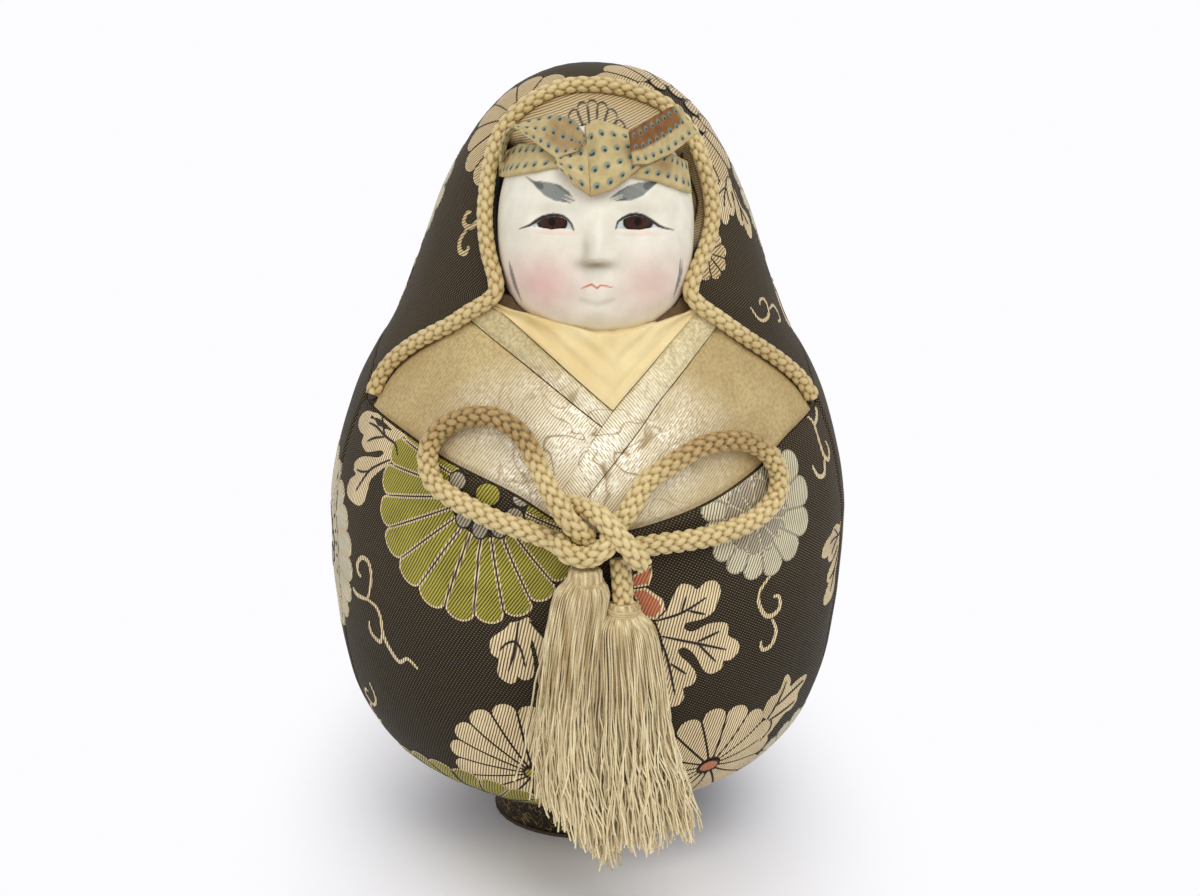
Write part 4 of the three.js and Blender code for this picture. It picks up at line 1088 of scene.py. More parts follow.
def face_paint(x, z):
    side = abs(x)
    colour = linear("#f3eee7")
    # The blush is paint; its weaker share on the right cheek is painted light, for the lamp on that side.
    colour = mix(colour, linear("#e6b4b2"), (0.78 if x < 0 else 0.55) * bump(side - 14.4, z + 15.2, 9.2, 8.0))
    # Painted shade and warm light thrown up by the collar, on the lower sides of the face.
    collar_bounce_shade = between(16, 28, math.hypot(x * 0.8, z)) * between(-14, -24, z)
    colour = mix(colour, linear("#dcc7a8"), 0.3 * collar_bounce_shade)
    # Painted shade in the eye sockets above the lids.
    colour = mix(colour, linear("#d9d3c8"), 0.5 * bump(side - 11, z - 4.6, 6.5, 1.6))
    # Painted shadow under the nose, partly dirt.
    colour = mix(colour, linear("#877c5e"), 0.85 * bump(x + 0.6, z + 9.5, 4.4, 1.3))
    # Painted shade on the left side of the nose, away from the lamp.
    colour = mix(colour, linear("#b5ac93"), 0.55 * bump(x + 3.2, z + 5.6, 1.2, 4.2))
    if -22 < z < -18:
        # Painted shadow under the lower lip.
        colour = mix(colour, linear("#bdb29d"), 0.45 * stroke(x, z, UNDER_LIP_SHADOW, 0.8))
    if 5.5 < z < 14:
        hairs = 0.5 + 0.5 * noise.noise(Vector((x * 0.5 + z * 0.9, z * 3.0 + x * 1.2, 0)))
        colour = mix(colour, mix(linear("#6d7072"), linear("#8b8e8f"), hairs), 0.95 * most(x, z, BROWS))
        colour = mix(colour, linear("#45474a"), 0.75 * most(x, z, BROW_DARK, 0.3) * most(x, z, BROWS))
        colour = mix(colour, linear("#efebe5"), 0.9 * most(x, z, BROW_SPLITS))
    if -2 < z < 5:
        colour = mix(colour, linear("#f0c9c2"), 0.5 * bump(side - 11, z + 1.6, 5.5, 0.8))
        colour = mix(colour, linear("#191412"), most(x, z, LIDS))
    if -18 < z < -13 and side < 6:
        colour = mix(colour, linear("#cf4f38"), 0.92 * stroke(x, z, MOUTH))
    if side > 18:
        colour = mix(colour, linear("#6b6a70"), 0.85 * most(x, z, SIDE_HAIR))
    return colour


print("cheek colour", [round(c, 2) for c in face_paint(13, -13)])

# %% [markdown]
# The front grid is a square that is rounded to a disc, and its rings crowd towards the rim, where the form
# turns away. The back of the head is hidden in the hood, so a few extruded rings close it.

# %% Head mesh
HEAD_GRID = 230
BACK_RINGS = 7
CENTRE_SHARE = 0.78
CENTRE_RIM = 0.9


def rim_share(s):
    if s < CENTRE_SHARE:
        return s * CENTRE_RIM / CENTRE_SHARE
    start = math.asin(CENTRE_RIM ** 1.35)
    angle = start + (math.pi / 2 - start) * (s - CENTRE_SHARE) / (1 - CENTRE_SHARE)
    return min(1.0, math.sin(angle) ** (1 / 1.35))


bm = bmesh.new()
bmesh.ops.create_grid(bm, x_segments=HEAD_GRID, y_segments=HEAD_GRID, size=1.0)
paint = bm.verts.layers.float_color.new("paint")
for vert in bm.verts:
    u, v = vert.co.x, vert.co.y
    disc = Vector((u * math.sqrt(1 - v * v / 2), v * math.sqrt(1 - u * u / 2)))
    reach = disc.length
    squared = abs(disc.x) ** HEAD_SQUARENESS + abs(disc.y) ** HEAD_SQUARENESS
    disc *= rim_share(min(1.0, reach)) / max(squared ** (1 / HEAD_SQUARENESS), 1e-6)
    x, z = disc.x * HEAD_HALF_WIDTH, disc.y * HEAD_REACH - HEAD_WIDEST_DROP
    vert[paint] = face_paint(x, z)
    vert.co = (head_front(x, z) + Vector((0, EYE_DEPTH * eye_opening(x, z), 0))) * MM
rim = [e for e in bm.edges if e.is_boundary]
widest = (HEAD_AT.z - HEAD_WIDEST_DROP) * MM
for ring in range(1, BACK_RINGS + 1):
    angle = math.pi / 2 * ring / (BACK_RINGS + 1)
    before = math.cos(math.pi / 2 * (ring - 1) / (BACK_RINGS + 1))
    grown = bmesh.ops.extrude_edge_only(bm, edges=rim)["geom"]
    rim = [e for e in grown if isinstance(e, bmesh.types.BMEdge)]
    for vert in [v for v in grown if isinstance(v, bmesh.types.BMVert)]:
        vert[paint] = linear("#f3eee7")
        vert.co.x *= math.cos(angle) / before
        vert.co.z = widest + (vert.co.z - widest) * math.cos(angle) / before
        vert.co.y = (HEAD_AT.y + HEAD_BACK * math.sin(angle)) * MM
bmesh.ops.edgeloop_fill(bm, edges=rim)
bmesh.ops.recalc_face_normals(bm, faces=bm.faces)
head = make_piece(bm, "painted_head", [shell_white], ["head"])
print("head:", len(head.data.polygons), "faces")

# %% [markdown]
# Each eye is a small lacquered lens that sits in its hollow: bluish white, with a wide brown iris, a darker
# ring and a dark pupil. Its upper part is darkened as painted shade under the lid. It reaches a little under
# the lids, so that no gap shows.

# %% Eyes
IRIS_HALF = (4.05, 2.3)
PUPIL = 1.0
EYE_SUNK = 0.42


def eye_paint(x, z, iris):
    reach = (abs((x - iris[0]) / IRIS_HALF[0]) ** 2.4 + abs((z - iris[1]) / IRIS_HALF[1]) ** 2.4) ** (1 / 2.4)
    colour = linear("#dfe4e6")
    ring = mix(linear("#3f241b"), linear("#180c0a"), between(0.7, 1.0, reach))
    colour = mix(colour, ring, 1 - between(0.96, 1.05, reach))
    pupil = math.hypot((x - iris[0] + 0.1) / PUPIL, (z - iris[1]) / PUPIL)
    colour = mix(colour, linear("#100807"), 1 - between(0.8, 1.15, pupil))
    # Painted shade: the upper part of the eye is darkened under the lid.
    return mix(colour, linear("#1c1210"), 0.55 * between(0.8, 2.3, z - iris[1]))


for side, eye in EYES.items():
    bm = bmesh.new()
    bmesh.ops.create_grid(bm, x_segments=60, y_segments=26, size=0.5)
    paint = bm.verts.layers.float_color.new("paint")
    for vert in bm.verts:
        u, v = vert.co.x + 0.5, vert.co.y + 0.5
        x = eye["upper"][0][0] - 0.3 + (eye["upper"][-1][0] - eye["upper"][0][0] + 0.6) * u
        low, high = line_height(eye["lower"], x) - 0.35, line_height(eye["upper"], x) + 0.35
        z = low + (high - low) * v
        vert[paint] = eye_paint(x, z, eye["iris"])
        dome = 0.2 * math.sin(math.pi * u) * math.sin(math.pi * v)
        vert.co = (head_front(x, z) + Vector((0, EYE_SUNK - dome, 0))) * MM
    face_away(bm, HEAD_AT * MM)
    lens = make_piece(bm, side + "_eye_lens", [lacquer], [side + "_eye"])
    thicken(lens, 0.3)
print("two eyes")

# %% [markdown]
# The headband is a strip of dotted cotton tied on the forehead. The strip lies on the head, a folded diamond
# covers the knot, and two ends stand out. The left end folds back in a loop and the right one is cut square.
# Each piece is ruled between an upper and a lower line, given across, forward and up from the head's middle.

# %% Headband
THIN_CLOTH = 0.7


def on_head(points, lift):
    places = [head_front(x, z, lift) - HEAD_AT for x, z in points]
    return [tuple(p) for p in places]


def cloth_between(name, upper, lower, width, height, bulge):
    def rule(u, v):
        place = HEAD_AT + Vector(along(lower, u)).lerp(Vector(along(upper, u)), v)
        out = Vector((place.x, place.y - HEAD_AT.y - 12, 0)).normalized()
        swell = bulge * math.sin(math.pi * u) * math.sin(math.pi * v)
        crumple = 0.3 * noise.noise(Vector((u * width * 0.25, v * height * 0.25, len(name))))
        return place + out * (swell + crumple), (u * width, v * height)
    return rule


BAND_UPPER = on_head(
    [(-26.8, 14.0), (-24.5, 17.2), (-21.0, 19.6), (-15.0, 20.5), (-8, 20), (0, 19.5), (8, 19), (15, 18.7),
     (20, 18.2), (25.0, 15.0)], 1.2)
BAND_LOWER = on_head(
    [(-26.8, 10.2), (-24.6, 11.6), (-22.0, 12.7), (-16.7, 14.1), (-11.1, 15.6), (-5, 14.5), (0, 13.8),
     (8.9, 13.4), (15, 12.2), (18.9, 11.0), (22.8, 9.3), (25.4, 8.0)], 1.2)
KNOT_LEFT_UPPER = on_head([(-11.4, 17.8), (-7.2, 19.8), (-3.1, 21.6)], 2.8)
KNOT_LEFT_LOWER = on_head([(-10.8, 15.4), (-7.1, 11.5), (-2.3, 8.6)], 2.8)
KNOT_RIGHT_UPPER = on_head([(-3.6, 25.6), (-0.6, 27.2), (3.0, 26.4), (8.0, 24.7)], 2.9)
KNOT_RIGHT_LOWER = on_head([(-2.3, 8.6), (2.9, 10.1), (7.0, 12.8), (10.5, 15.9)], 2.9)
LEFT_END_UPPER = [(-22.7, -10.2, 25.1), (-17.0, -13.0, 27.0), (-12.0, -16.0, 28.4), (-6.6, -19.4, 27.4),
                  (-3.4, -24.0, 23.4)]
LEFT_END_LOWER = [(-22.2, -11.2, 24.2), (-19.2, -14.0, 22.5), (-15.4, -18.6, 20.2), (-11.3, -22.6, 17.6),
                  (-6.0, -24.6, 19.8)]
LEFT_LOOP_OUTER = [(-22.7, -10.2, 25.1), (-24.6, -8.0, 23.6), (-26.2, -6.0, 20.0), (-26.8, -4.6, 14.6)]
LEFT_LOOP_INNER = [(-21.0, -4.0, 24.4), (-23.6, -3.0, 22.6), (-25.0, -1.6, 19.4), (-25.8, -1.0, 14.4)]
RIGHT_END_UPPER = [(7.9, -24.4, 24.9), (14.5, -16.4, 28.3), (18.4, -12.2, 30.2), (21.2, -9.0, 31.1)]
RIGHT_END_LOWER = [(9.2, -25.6, 16.6), (13.0, -21.6, 16.4), (19.5, -14.6, 18.5), (27.2, -6.4, 23.3)]


def right_end_stain(u, v):
    return between(0.34, 0.44, v - 0.12 * u) * (1 - between(0.86, 0.96, u))


def left_end_stain(u, v):
    return 0.55 * between(0.35, 0.62, u) * between(0.2, 0.5, v + 0.2 * u)


for name, upper, lower, width, height, columns, rows, bulge, stained, node in (
    ("headband_strip", BAND_UPPER, BAND_LOWER, 62.0, 6.5, 110, 14, 0.0,
     lambda u, v: 0.7 * bump(u - 0.8, v - 0.6, 0.05, 0.4), "headband_band"),
    ("headband_knot_left", KNOT_LEFT_UPPER, KNOT_LEFT_LOWER, 9.5, 10.5, 36, 36, 0.9,
     lambda u, v: 0.35 * (1 - between(0.0, 0.3, v)), "headband_knot"),
    ("headband_knot_right", KNOT_RIGHT_UPPER, KNOT_RIGHT_LOWER, 12.0, 15.5, 44, 50, 1.2,
     lambda u, v: 0.3 * (1 - between(0.0, 0.2, v)), None),
    ("headband_left_end", LEFT_END_UPPER, LEFT_END_LOWER, 23.0, 9.5, 60, 30, 0.8, left_end_stain,
     "headband_left_tail"),
    ("headband_left_loop", LEFT_LOOP_OUTER, LEFT_LOOP_INNER, 13.0, 6.0, 30, 12, 0.0, None, None),
    ("headband_right_end", RIGHT_END_UPPER, RIGHT_END_LOWER, 25.0, 10.5, 60, 30, 0.5, right_end_stain,
     "headband_right_tail"),
):
    rule = cloth_between(name, upper, lower, width, height, bulge)
    lay_cloth(name, columns, rows, rule, dotted, "dotted_cloth", node, THIN_CLOTH,
                              middle=HEAD_AT * MM, strength=0.0, stained=stained)

# %% [markdown]
# The inner collar is a double layer of crepe that fills the V between the bands and closes under the chin.
# Faint folds run along the V. The lining of the hood shows round the head: gold brocade with a large flower
# above the headband, and dark ground on the left. Its dark lines are stored as a stain, because they are
# part of the weave.

# %% Inner collar
COLLAR_TOP = [(-28.5, 167.4), (-25.1, 166.9), (-18.9, 166.2), (-12.8, 165.2), (-5.6, 163.7), (0.1, 162.7),
              (5.1, 162.7), (12.3, 163.8), (16.6, 164.6), (23.4, 166.0), (28.5, 167.4)]
left_inner = up_to(after(LEFT_BAND_INNER, HOOD_LEFT), RIGHT_BAND_INNER)
right_inner = up_to(after(RIGHT_BAND_INNER, HOOD_RIGHT), LEFT_BAND_INNER)
V_TIP = left_inner[-1]
V_LINE = left_inner + right_inner[::-1][1:]
COLLAR_FOLD_PITCH = 5.5


def collar_rule(u, v):
    x = -27.5 + 55.0 * u
    top = line_height(COLLAR_TOP, x)
    bottom = min(line_height(V_LINE, x), top - 0.2)
    z = bottom + (top - bottom) * v
    below = z - line_height(V_LINE, x)
    fold = 0.35 * math.sin(2 * math.pi * below / COLLAR_FOLD_PITCH + 0.03 * x * x / 6)
    creases = 0.3 * noise.noise(Vector((x * 0.12, below * 0.5, 2)))
    roll = 1.0 * between(0.55, 0.85, v) - 2.8 * between(0.9, 1.0, v)
    return on_front(x, z, 0.1 + roll + (fold + creases) * between(0.0, 0.1, v)), (x, z)


inner_collar = lay_cloth("inner_collar_crepe", 120, 60, collar_rule, crepe, "cream_crepe", "inner_collar",
                         THIN_CLOTH, strength=0.0)
print("inner collar between", [round(v, 1) for v in V_TIP], "and the chin")

# %% [markdown]
# The lining starts at the cord. At the sides it goes back into the opening and turns inwards behind the
# head. At the top it comes forward and rests on the head, just above the headband.

# %% Hood lining
LINING_DEPTH = 4.6
lining_line = [p for p in HOOD_LINE if p[1] > 166.5 and abs(p[0]) < 33]
LINING_RISE = 6.6
LINING_MIDDLE = Vector((0, 40, 195))
FLOWER_AT = (-1.4, -6.0)
PETAL_TURN = 0.3
PETAL_REACH, PETAL_ROUND = 9.2, 1.3


def lining_rule(u, v):
    x, z = along(lining_line, u)
    z = min(z, 224.0)
    edge = on_front(x * 0.985, z)
    inward = 0.03 + 0.27 * between(0.3, 1.0, v)
    back = 1.2 + LINING_DEPTH * between(0.0, 0.4, v) + 6.0 * between(0.4, 1.0, v)
    behind = Vector((x * (1 - inward), edge.y + back, 192 + (z - 192) * (1 - inward)))
    rest_x = 0.8 * x
    resting = edge.lerp(head_front(rest_x, 26.0 - 4.0 * (rest_x / 14) ** 2, 0.6), v)
    place = behind.lerp(resting, between(204, 216, z))
    return place, (place.x, place.z)


def thin_line(gap, half_width):
    return 1 - between(half_width * 0.6, half_width * 1.3, abs(gap))


def lining_stain(u, v):
    place, _ = lining_rule(u, v)
    x, z = place.x, place.z
    rise = (1 - v) * LINING_RISE
    on_top = between(208, 214, along(lining_line, u)[1])
    left_side = between(-10, -17, x) * (1 - on_top)
    right_low = between(12, 20, x) * (1 - between(180, 186, z))
    lines = 0.0
    if on_top > 0:
        reach = math.hypot(x - FLOWER_AT[0], rise - FLOWER_AT[1])
        number = math.atan2(x - FLOWER_AT[0], rise - FLOWER_AT[1]) / PETAL_TURN
        off = abs(number - round(number))
        tip = PETAL_REACH + PETAL_ROUND * math.sqrt(1 - 4 * off * off)
        side = thin_line((0.5 - off) * PETAL_TURN * reach, 0.32) if reach < PETAL_REACH + 0.3 else 0.0
        lines = max(thin_line(reach - tip, 0.26), side)
    elif x > 12:
        wander = x - 23.5 + 2.2 * math.sin(z * 0.22)
        lines = max(thin_line(wander, 0.5), thin_line(wander - 2.6, 0.4), thin_line(wander + 2.8, 0.4))
    return max(left_side, right_low, lines)


hood_lining_cloth, tree = new_finish("gold_brocade_lining")
threads = add_node(tree, "ShaderNodeUVMap", uv_map="threads")
run = add_node(tree, "ShaderNodeMapping", {"Vector": threads, "Rotation": (0, 0, math.radians(-20))})
lines = add_node(tree, "ShaderNodeTexWave",
                 {"Vector": run, "Scale": wave_scale(0.6), "Distortion": 2.0, "Detail": 2.0},
                 bands_direction="Y")
stain = add_node(tree, "ShaderNodeAttribute", attribute_name="stain")
gold_tone = add_node(tree, "ShaderNodeValToRGB", {"Fac": lines},
                     stops=[(0.1, "#8a7049"), (0.7, "#d6c193")])
dark_tone = add_node(tree, "ShaderNodeValToRGB", {"Fac": lines},
                     stops=[(0.1, "#1d1713"), (0.7, "#3a2f25")])
lining_tone = add_node(tree, "ShaderNodeMix", {"Factor": stain, "A": gold_tone, "B": dark_tone},
                       data_type="RGBA")
lining_bump = add_node(tree, "ShaderNodeBump", {"Strength": 0.4, "Distance": 0.12 * MM, "Height": lines})
shader = add_node(tree, "ShaderNodeBsdfPrincipled",
                  {"Base Color": lining_tone, "Roughness": 0.5, "Metallic": 0.1, "Normal": lining_bump})
add_node(tree, "ShaderNodeOutputMaterial", {"Surface": shader})
hood_lining = lay_cloth("hood_lining_cloth", 380, 40, lining_rule, hood_lining_cloth, "brocade",
                        "hood_lining", 0.6, middle=LINING_MIDDLE * MM, strength=0.0, stained=lining_stain)
print("lining:", len(hood_lining.data.polygons), "faces")

# %% [markdown]
# The foot is a low disc. A strip of brocade with small gold scrolls goes round it, and a felt pad closes it
# below.

# %% Foot
FOOT_RADIUS = 28.0
foot_brocade, tree = new_finish("scroll_brocade")
threads = add_node(tree, "ShaderNodeUVMap", uv_map="threads")
scrolls = add_node(tree, "ShaderNodeTexNoise",
                   {"Vector": threads, "Scale": noise_scale(4.5), "Detail": 0.0, "Distortion": 2.2})
scroll_mask = add_node(tree, "ShaderNodeValToRGB", {"Fac": scrolls},
                       stops=[(0.44, BLACK), (0.49, WHITE), (0.51, WHITE), (0.56, BLACK)])
weave = add_node(tree, "ShaderNodeTexWave", {"Vector": threads, "Scale": wave_scale(0.7)},
                 bands_direction="DIAGONAL")
foot_dark = add_node(tree, "ShaderNodeValToRGB", {"Fac": weave},
                     stops=[(0.2, "#1c150e"), (0.8, "#2e2519")])
foot_gold = add_node(tree, "ShaderNodeValToRGB", {"Fac": weave},
                     stops=[(0.2, "#5f4a28"), (0.8, "#94794a")])
foot_tone = add_node(tree, "ShaderNodeMix", {"Factor": scroll_mask, "A": foot_dark, "B": foot_gold},
                     data_type="RGBA")
foot_bump = add_node(tree, "ShaderNodeBump", {"Strength": 0.4, "Distance": 0.15 * MM, "Height": weave})
shader = add_node(tree, "ShaderNodeBsdfPrincipled",
                  {"Base Color": foot_tone, "Roughness": 0.6, "Specular IOR Level": 0.25,
                   "Normal": foot_bump})
add_node(tree, "ShaderNodeOutputMaterial", {"Surface": shader})


def foot_rule(u, v):
    turn = 2 * math.pi * u
    z = 1.2 + 8.6 * v
    radius = FOOT_RADIUS - 0.3 + 0.35 * math.sin(math.pi * v)
    return (Vector((radius * math.sin(turn), -DEPTH_RATIO * radius * math.cos(turn), z)),
            (turn * FOOT_RADIUS, z))


foot_cover = lay_cloth("foot_strip", 140, 10, foot_rule, foot_brocade, "brocade", "foot_cover", 0.8,
                       strength=0.0)
print("foot strip", round(2 * math.pi * FOOT_RADIUS), "mm long")

# %% [markdown]
# A cord is a round braid, of eight bundles in the bow and six round the hood: half of them wind to the left
# and half to the right, and they pass over and under one another. Outside, each passing shows as a plump
# grain. The grains stand in columns along the cord, leaning to the left and to the right in turn, so a cord
# is a tube whose wall swells into these grains.

# %% Helper that braids a cord
GRAIN_REPEAT = 3.4
GRAIN_HALF_LENGTH = 1.8
GRAIN_LEAN = math.radians(28)
GRAIN_RISE = 0.36
CREASE_SHADE = 0.6
BRAID_STEP = 0.34
BRAID_SIDES = 48
BOW_RADIUS, BOW_COLUMNS = 2.95, 8
HOOD_CORD_RADIUS, HOOD_CORD_COLUMNS = 2.35, 6


def frames_along(points):
    line = [points[0]]
    for p in points[1:]:
        pieces = max(1, round((p - line[-1]).length / BRAID_STEP))
        start = line[-1]
        line += [start.lerp(p, (i + 1) / pieces) for i in range(pieces)]
    side = Vector((0, 0, 1)).cross(line[1] - line[0]).normalized()
    frames = []
    length = 0.0
    for i, p in enumerate(line):
        ahead = (line[min(i + 1, len(line) - 1)] - line[max(i - 1, 0)]).normalized()
        side = (side - ahead * side.dot(ahead)).normalized()
        length += (p - line[max(i - 1, 0)]).length
        frames.append((p, side, ahead.cross(side), length))
    return frames


def grain_rise(turn, length, columns, column_width):
    column = turn / (2 * math.pi) * columns
    best = 0.0
    for c in (math.floor(column), math.floor(column) + 1):
        across = (column - c) * column_width
        lean = GRAIN_LEAN if c % 2 else -GRAIN_LEAN
        row = length / GRAIN_REPEAT - 0.5 * (c % 2)
        for k in (math.floor(row), math.floor(row) + 1):
            ahead = (row - k) * GRAIN_REPEAT
            a = ahead * math.cos(lean) + across * math.sin(lean)
            b = across * math.cos(lean) - ahead * math.sin(lean)
            best = max(best, 1 - abs(a / GRAIN_HALF_LENGTH) ** 2.4 - abs(b / (0.54 * column_width)) ** 2.4)
    return math.sqrt(best)


def braid_mesh(points, radius=BOW_RADIUS, columns=BOW_COLUMNS):
    crease = radius * (1 - GRAIN_RISE)
    column_width = 2 * math.pi * 0.9 * radius / columns
    bm = bmesh.new()
    tone = bm.verts.layers.float.new("tone")
    rings = []
    for place, side, up, length in frames_along(points):
        ring = []
        for k in range(BRAID_SIDES):
            turn = 2 * math.pi * k / BRAID_SIDES
            rise = grain_rise(turn, length, columns, column_width)
            reach = crease + GRAIN_RISE * radius * rise
            vert = bm.verts.new((place + (side * math.cos(turn) + up * math.sin(turn)) * reach) * MM)
            # Painted shade: the creases between the grains are darkened by this tone.
            vert[tone] = CREASE_SHADE * (1 - rise) ** 1.5
            ring.append(vert)
        rings.append(ring)
    for low, high in zip(rings, rings[1:]):
        for k in range(BRAID_SIDES):
            n = (k + 1) % BRAID_SIDES
            bm.faces.new((low[k], low[n], high[n], high[k]))
    bm.faces.new(rings[0][::-1])
    bm.faces.new(rings[-1])
    bmesh.ops.recalc_face_normals(bm, faces=bm.faces)
    return bm


def dust(bm, rule):
    tone = bm.verts.layers.float.get("tone") or bm.verts.layers.float.new("tone")
    for vert in bm.verts:
        vert[tone] += rule(vert.co / MM)
    return bm


def smooth_path(places, steps=8):
    return [Vector(p) for p in spline([tuple(p) for p in places], steps)]


print("braid: a grain every", GRAIN_REPEAT, "mm in each column")

# %% [markdown]
# The cord round the opening is glued along the hood's seam. The bow is tied from a thicker cord: two loops,
# a turn at the bottom of the knot and a short end that lies over it. The tops of the loops have gone tan
# with age.

# %% Hood cord and bow
CORD_LIFT = 3.3
HOOD_CORD_LIFT = 1.8
LEFT_LOOP = from_belly([
    (-1.6, 8.6), (-4.4, 11.2), (-7.2, 14.4), (-10.9, 20), (-14.5, 26.4), (-18.5, 33), (-24.6, 36.9),
    (-31.8, 36.8), (-39.4, 33.0), (-43, 26.8), (-42, 20.2), (-36.8, 16.4), (-26.4, 12.3), (-16.4, 9.7),
    (-9.5, 7.4)])
RIGHT_LOOP = from_belly([
    (4.6, 11.0), (6.2, 12.8), (8.4, 15.6), (12.6, 22.4), (19.8, 27.2), (27.2, 30.6), (35.5, 31.3),
    (42.0, 29.1), (46.3, 25), (48.4, 19.9), (47, 14.6), (41.9, 10.7), (33.7, 8.4), (24.9, 7.4), (15.4, 6.8),
    (9.4, 6.0)])
KNOT_TURN = from_belly([(-9.5, 8.4), (-6.5, 5.8), (-2.2, 5), (1.6, 6.8), (3.4, 9.4)])
KNOT_WRAP = from_belly([
    (-9.2, 17.2), (-5, 16.8), (-1, 15.7), (1.4, 14.2), (3.2, 12.4), (6.6, 8.4), (9.5, 5.0), (11.0, 3.2)])
TURN_LIFTS = (6.5, 8.8, 9.2, 9.2, 7.5)
WRAP_LIFTS = (2.4, 2.8, 5.6, 7.8, 9.0, 9.6, 9.2, 7.8)
LEFT_LIFTS = [5.0, 7.6, 8.6, 7.0, 4.6] + [CORD_LIFT] * (len(LEFT_LOOP) - 5)


def lifted(line, lifts):
    return smooth_path([on_front(x, min(z, 225.2), lift) for (x, z), lift in zip(line, lifts)])


def hood_dust(p):
    return 0.1 + 0.15 * noise.noise(p * 0.05) + 0.1 * between(170, 150, p.z)


def loop_dust(p):
    return 0.08 + 0.42 * between(127, 137, p.z) + 0.15 * noise.noise(p * 0.08)


hood_line = HOOD_LINE[1:-1]
hood_points = lifted(hood_line, [HOOD_CORD_LIFT] * len(hood_line))
hood_braid = braid_mesh(hood_points, HOOD_CORD_RADIUS, HOOD_CORD_COLUMNS)
make_piece(dust(hood_braid, hood_dust), "hood_cord_braid", [rayon_cord], ["hood_cord"])
bow = {}
for name, line, lifts, node in (
    ("bow_left_braid", LEFT_LOOP, LEFT_LIFTS, "bow_left_loop"),
    ("bow_right_braid", RIGHT_LOOP, [CORD_LIFT] * len(RIGHT_LOOP), "bow_right_loop"),
    ("knot_turn_braid", KNOT_TURN, TURN_LIFTS, "knot_turn"),
    ("knot_wrap_braid", KNOT_WRAP, WRAP_LIFTS, "knot_wrap"),
):
    points = lifted(line, lifts)
    piece = make_piece(dust(braid_mesh(points), loop_dust), name, [rayon_cord], [node])
    bow[name] = (piece, points, sum((b - a).length for a, b in zip(points, points[1:])))
print("bow lengths:", {name: round(length) for name, (_, _, length) in bow.items()})

# %% [markdown]
# Each tassel hangs on a short end of the cord. Its yarns come out of a bound neck, spread over the rounded
# head and fall down in loose waves to ragged tips. The sections repeat the CAD skirt: drop below the
# tassel's head, shift to the side, half width and half depth. Some yarns roam across the others. The yarns
# and the binding ride on the tassel's body, and the tail is not attached to a body.

# %% Tassels
YARN_RADIUS = 0.26
YARNS = 430
YARN_STEPS = 26
CORE_SHARE = 0.85
BACK_SHARE = 0.75
GOLDEN_TURN = 2.399963
ROAMING_EVERY = 13
ROAMING_FIRST = 5
ROAMING_SWAY = 2.2
ROAMING_WAVES = 0.45
ROAMING_FORWARD = 0.9
TASSELS = {
    "left": {
        "head": Vector((-2.6, -76.5, 100.5)), "top": Vector((-2.6, -74.0, 109.0)), "ball": 4.4,
        "sections": [(-3.3, 0, 3.6, 3.4), (-2.7, 0, 4.3, 4.1), (-0.2, -0.2, 4.5, 4.3), (1.2, -0.4, 6.2, 5.2),
                     (3.4, -0.8, 7.3, 5.9), (7, -1.4, 7.6, 6.1), (16, -2.8, 7.6, 6.4), (30, -4.0, 7.7, 6.8),
                     (44, -4.4, 8.0, 7.2), (58, -3.2, 9.0, 7.6), (81, 0.9, 9.6, 7.2)],
        "slant": 0.12,
        "wraps": [(0.3, 4.65, 2, 0.55, 0.36)],
    },
    "right": {
        "head": Vector((7.5, -76.5, 91.5)), "top": Vector((6.5, -74.0, 106.0)), "ball": 3.5,
        "sections": [(-3.0, 0, 3.4, 3.2), (-0.8, 0, 4.2, 3.9), (0.8, 0.1, 5.6, 4.9), (2.4, 0.4, 7.2, 5.9),
                     (4.8, 0.8, 8.2, 6.5), (9.7, 1.4, 8.7, 6.8), (23, 2.8, 9.5, 7.1), (36, 3.8, 10.4, 7.6),
                     (48, 5.4, 12.4, 8.2), (67, 7.3, 14.8, 8.6)],
        "slant": -0.03,
        "wraps": [(1.8, 4.4, 3, 0.6, 0.36)],
    },
}


def tubes(name, lines, radius, sides=1):
    data = bpy.data.curves.new(name, "CURVE")
    data.dimensions = "3D"
    data.bevel_depth = radius * MM
    data.bevel_resolution = sides
    data.use_fill_caps = True
    for line in lines:
        spline_data = data.splines.new("POLY")
        spline_data.points.add(len(line) - 1)
        for point, place in zip(spline_data.points, line):
            point.co = (*(place * MM), 1.0)
    holder = bpy.data.objects.new(name, data)
    scene.collection.objects.link(holder)
    bpy.context.view_layer.update()
    mesh = bpy.data.meshes.new_from_object(holder.evaluated_get(bpy.context.evaluated_depsgraph_get()))
    bpy.data.objects.remove(holder)
    bpy.data.curves.remove(data)
    return mesh


def section_at(sections, drop):
    keys = [s[0] for s in sections]
    return [look_up(keys, [s[i] for s in sections], drop) for i in (1, 2, 3)]


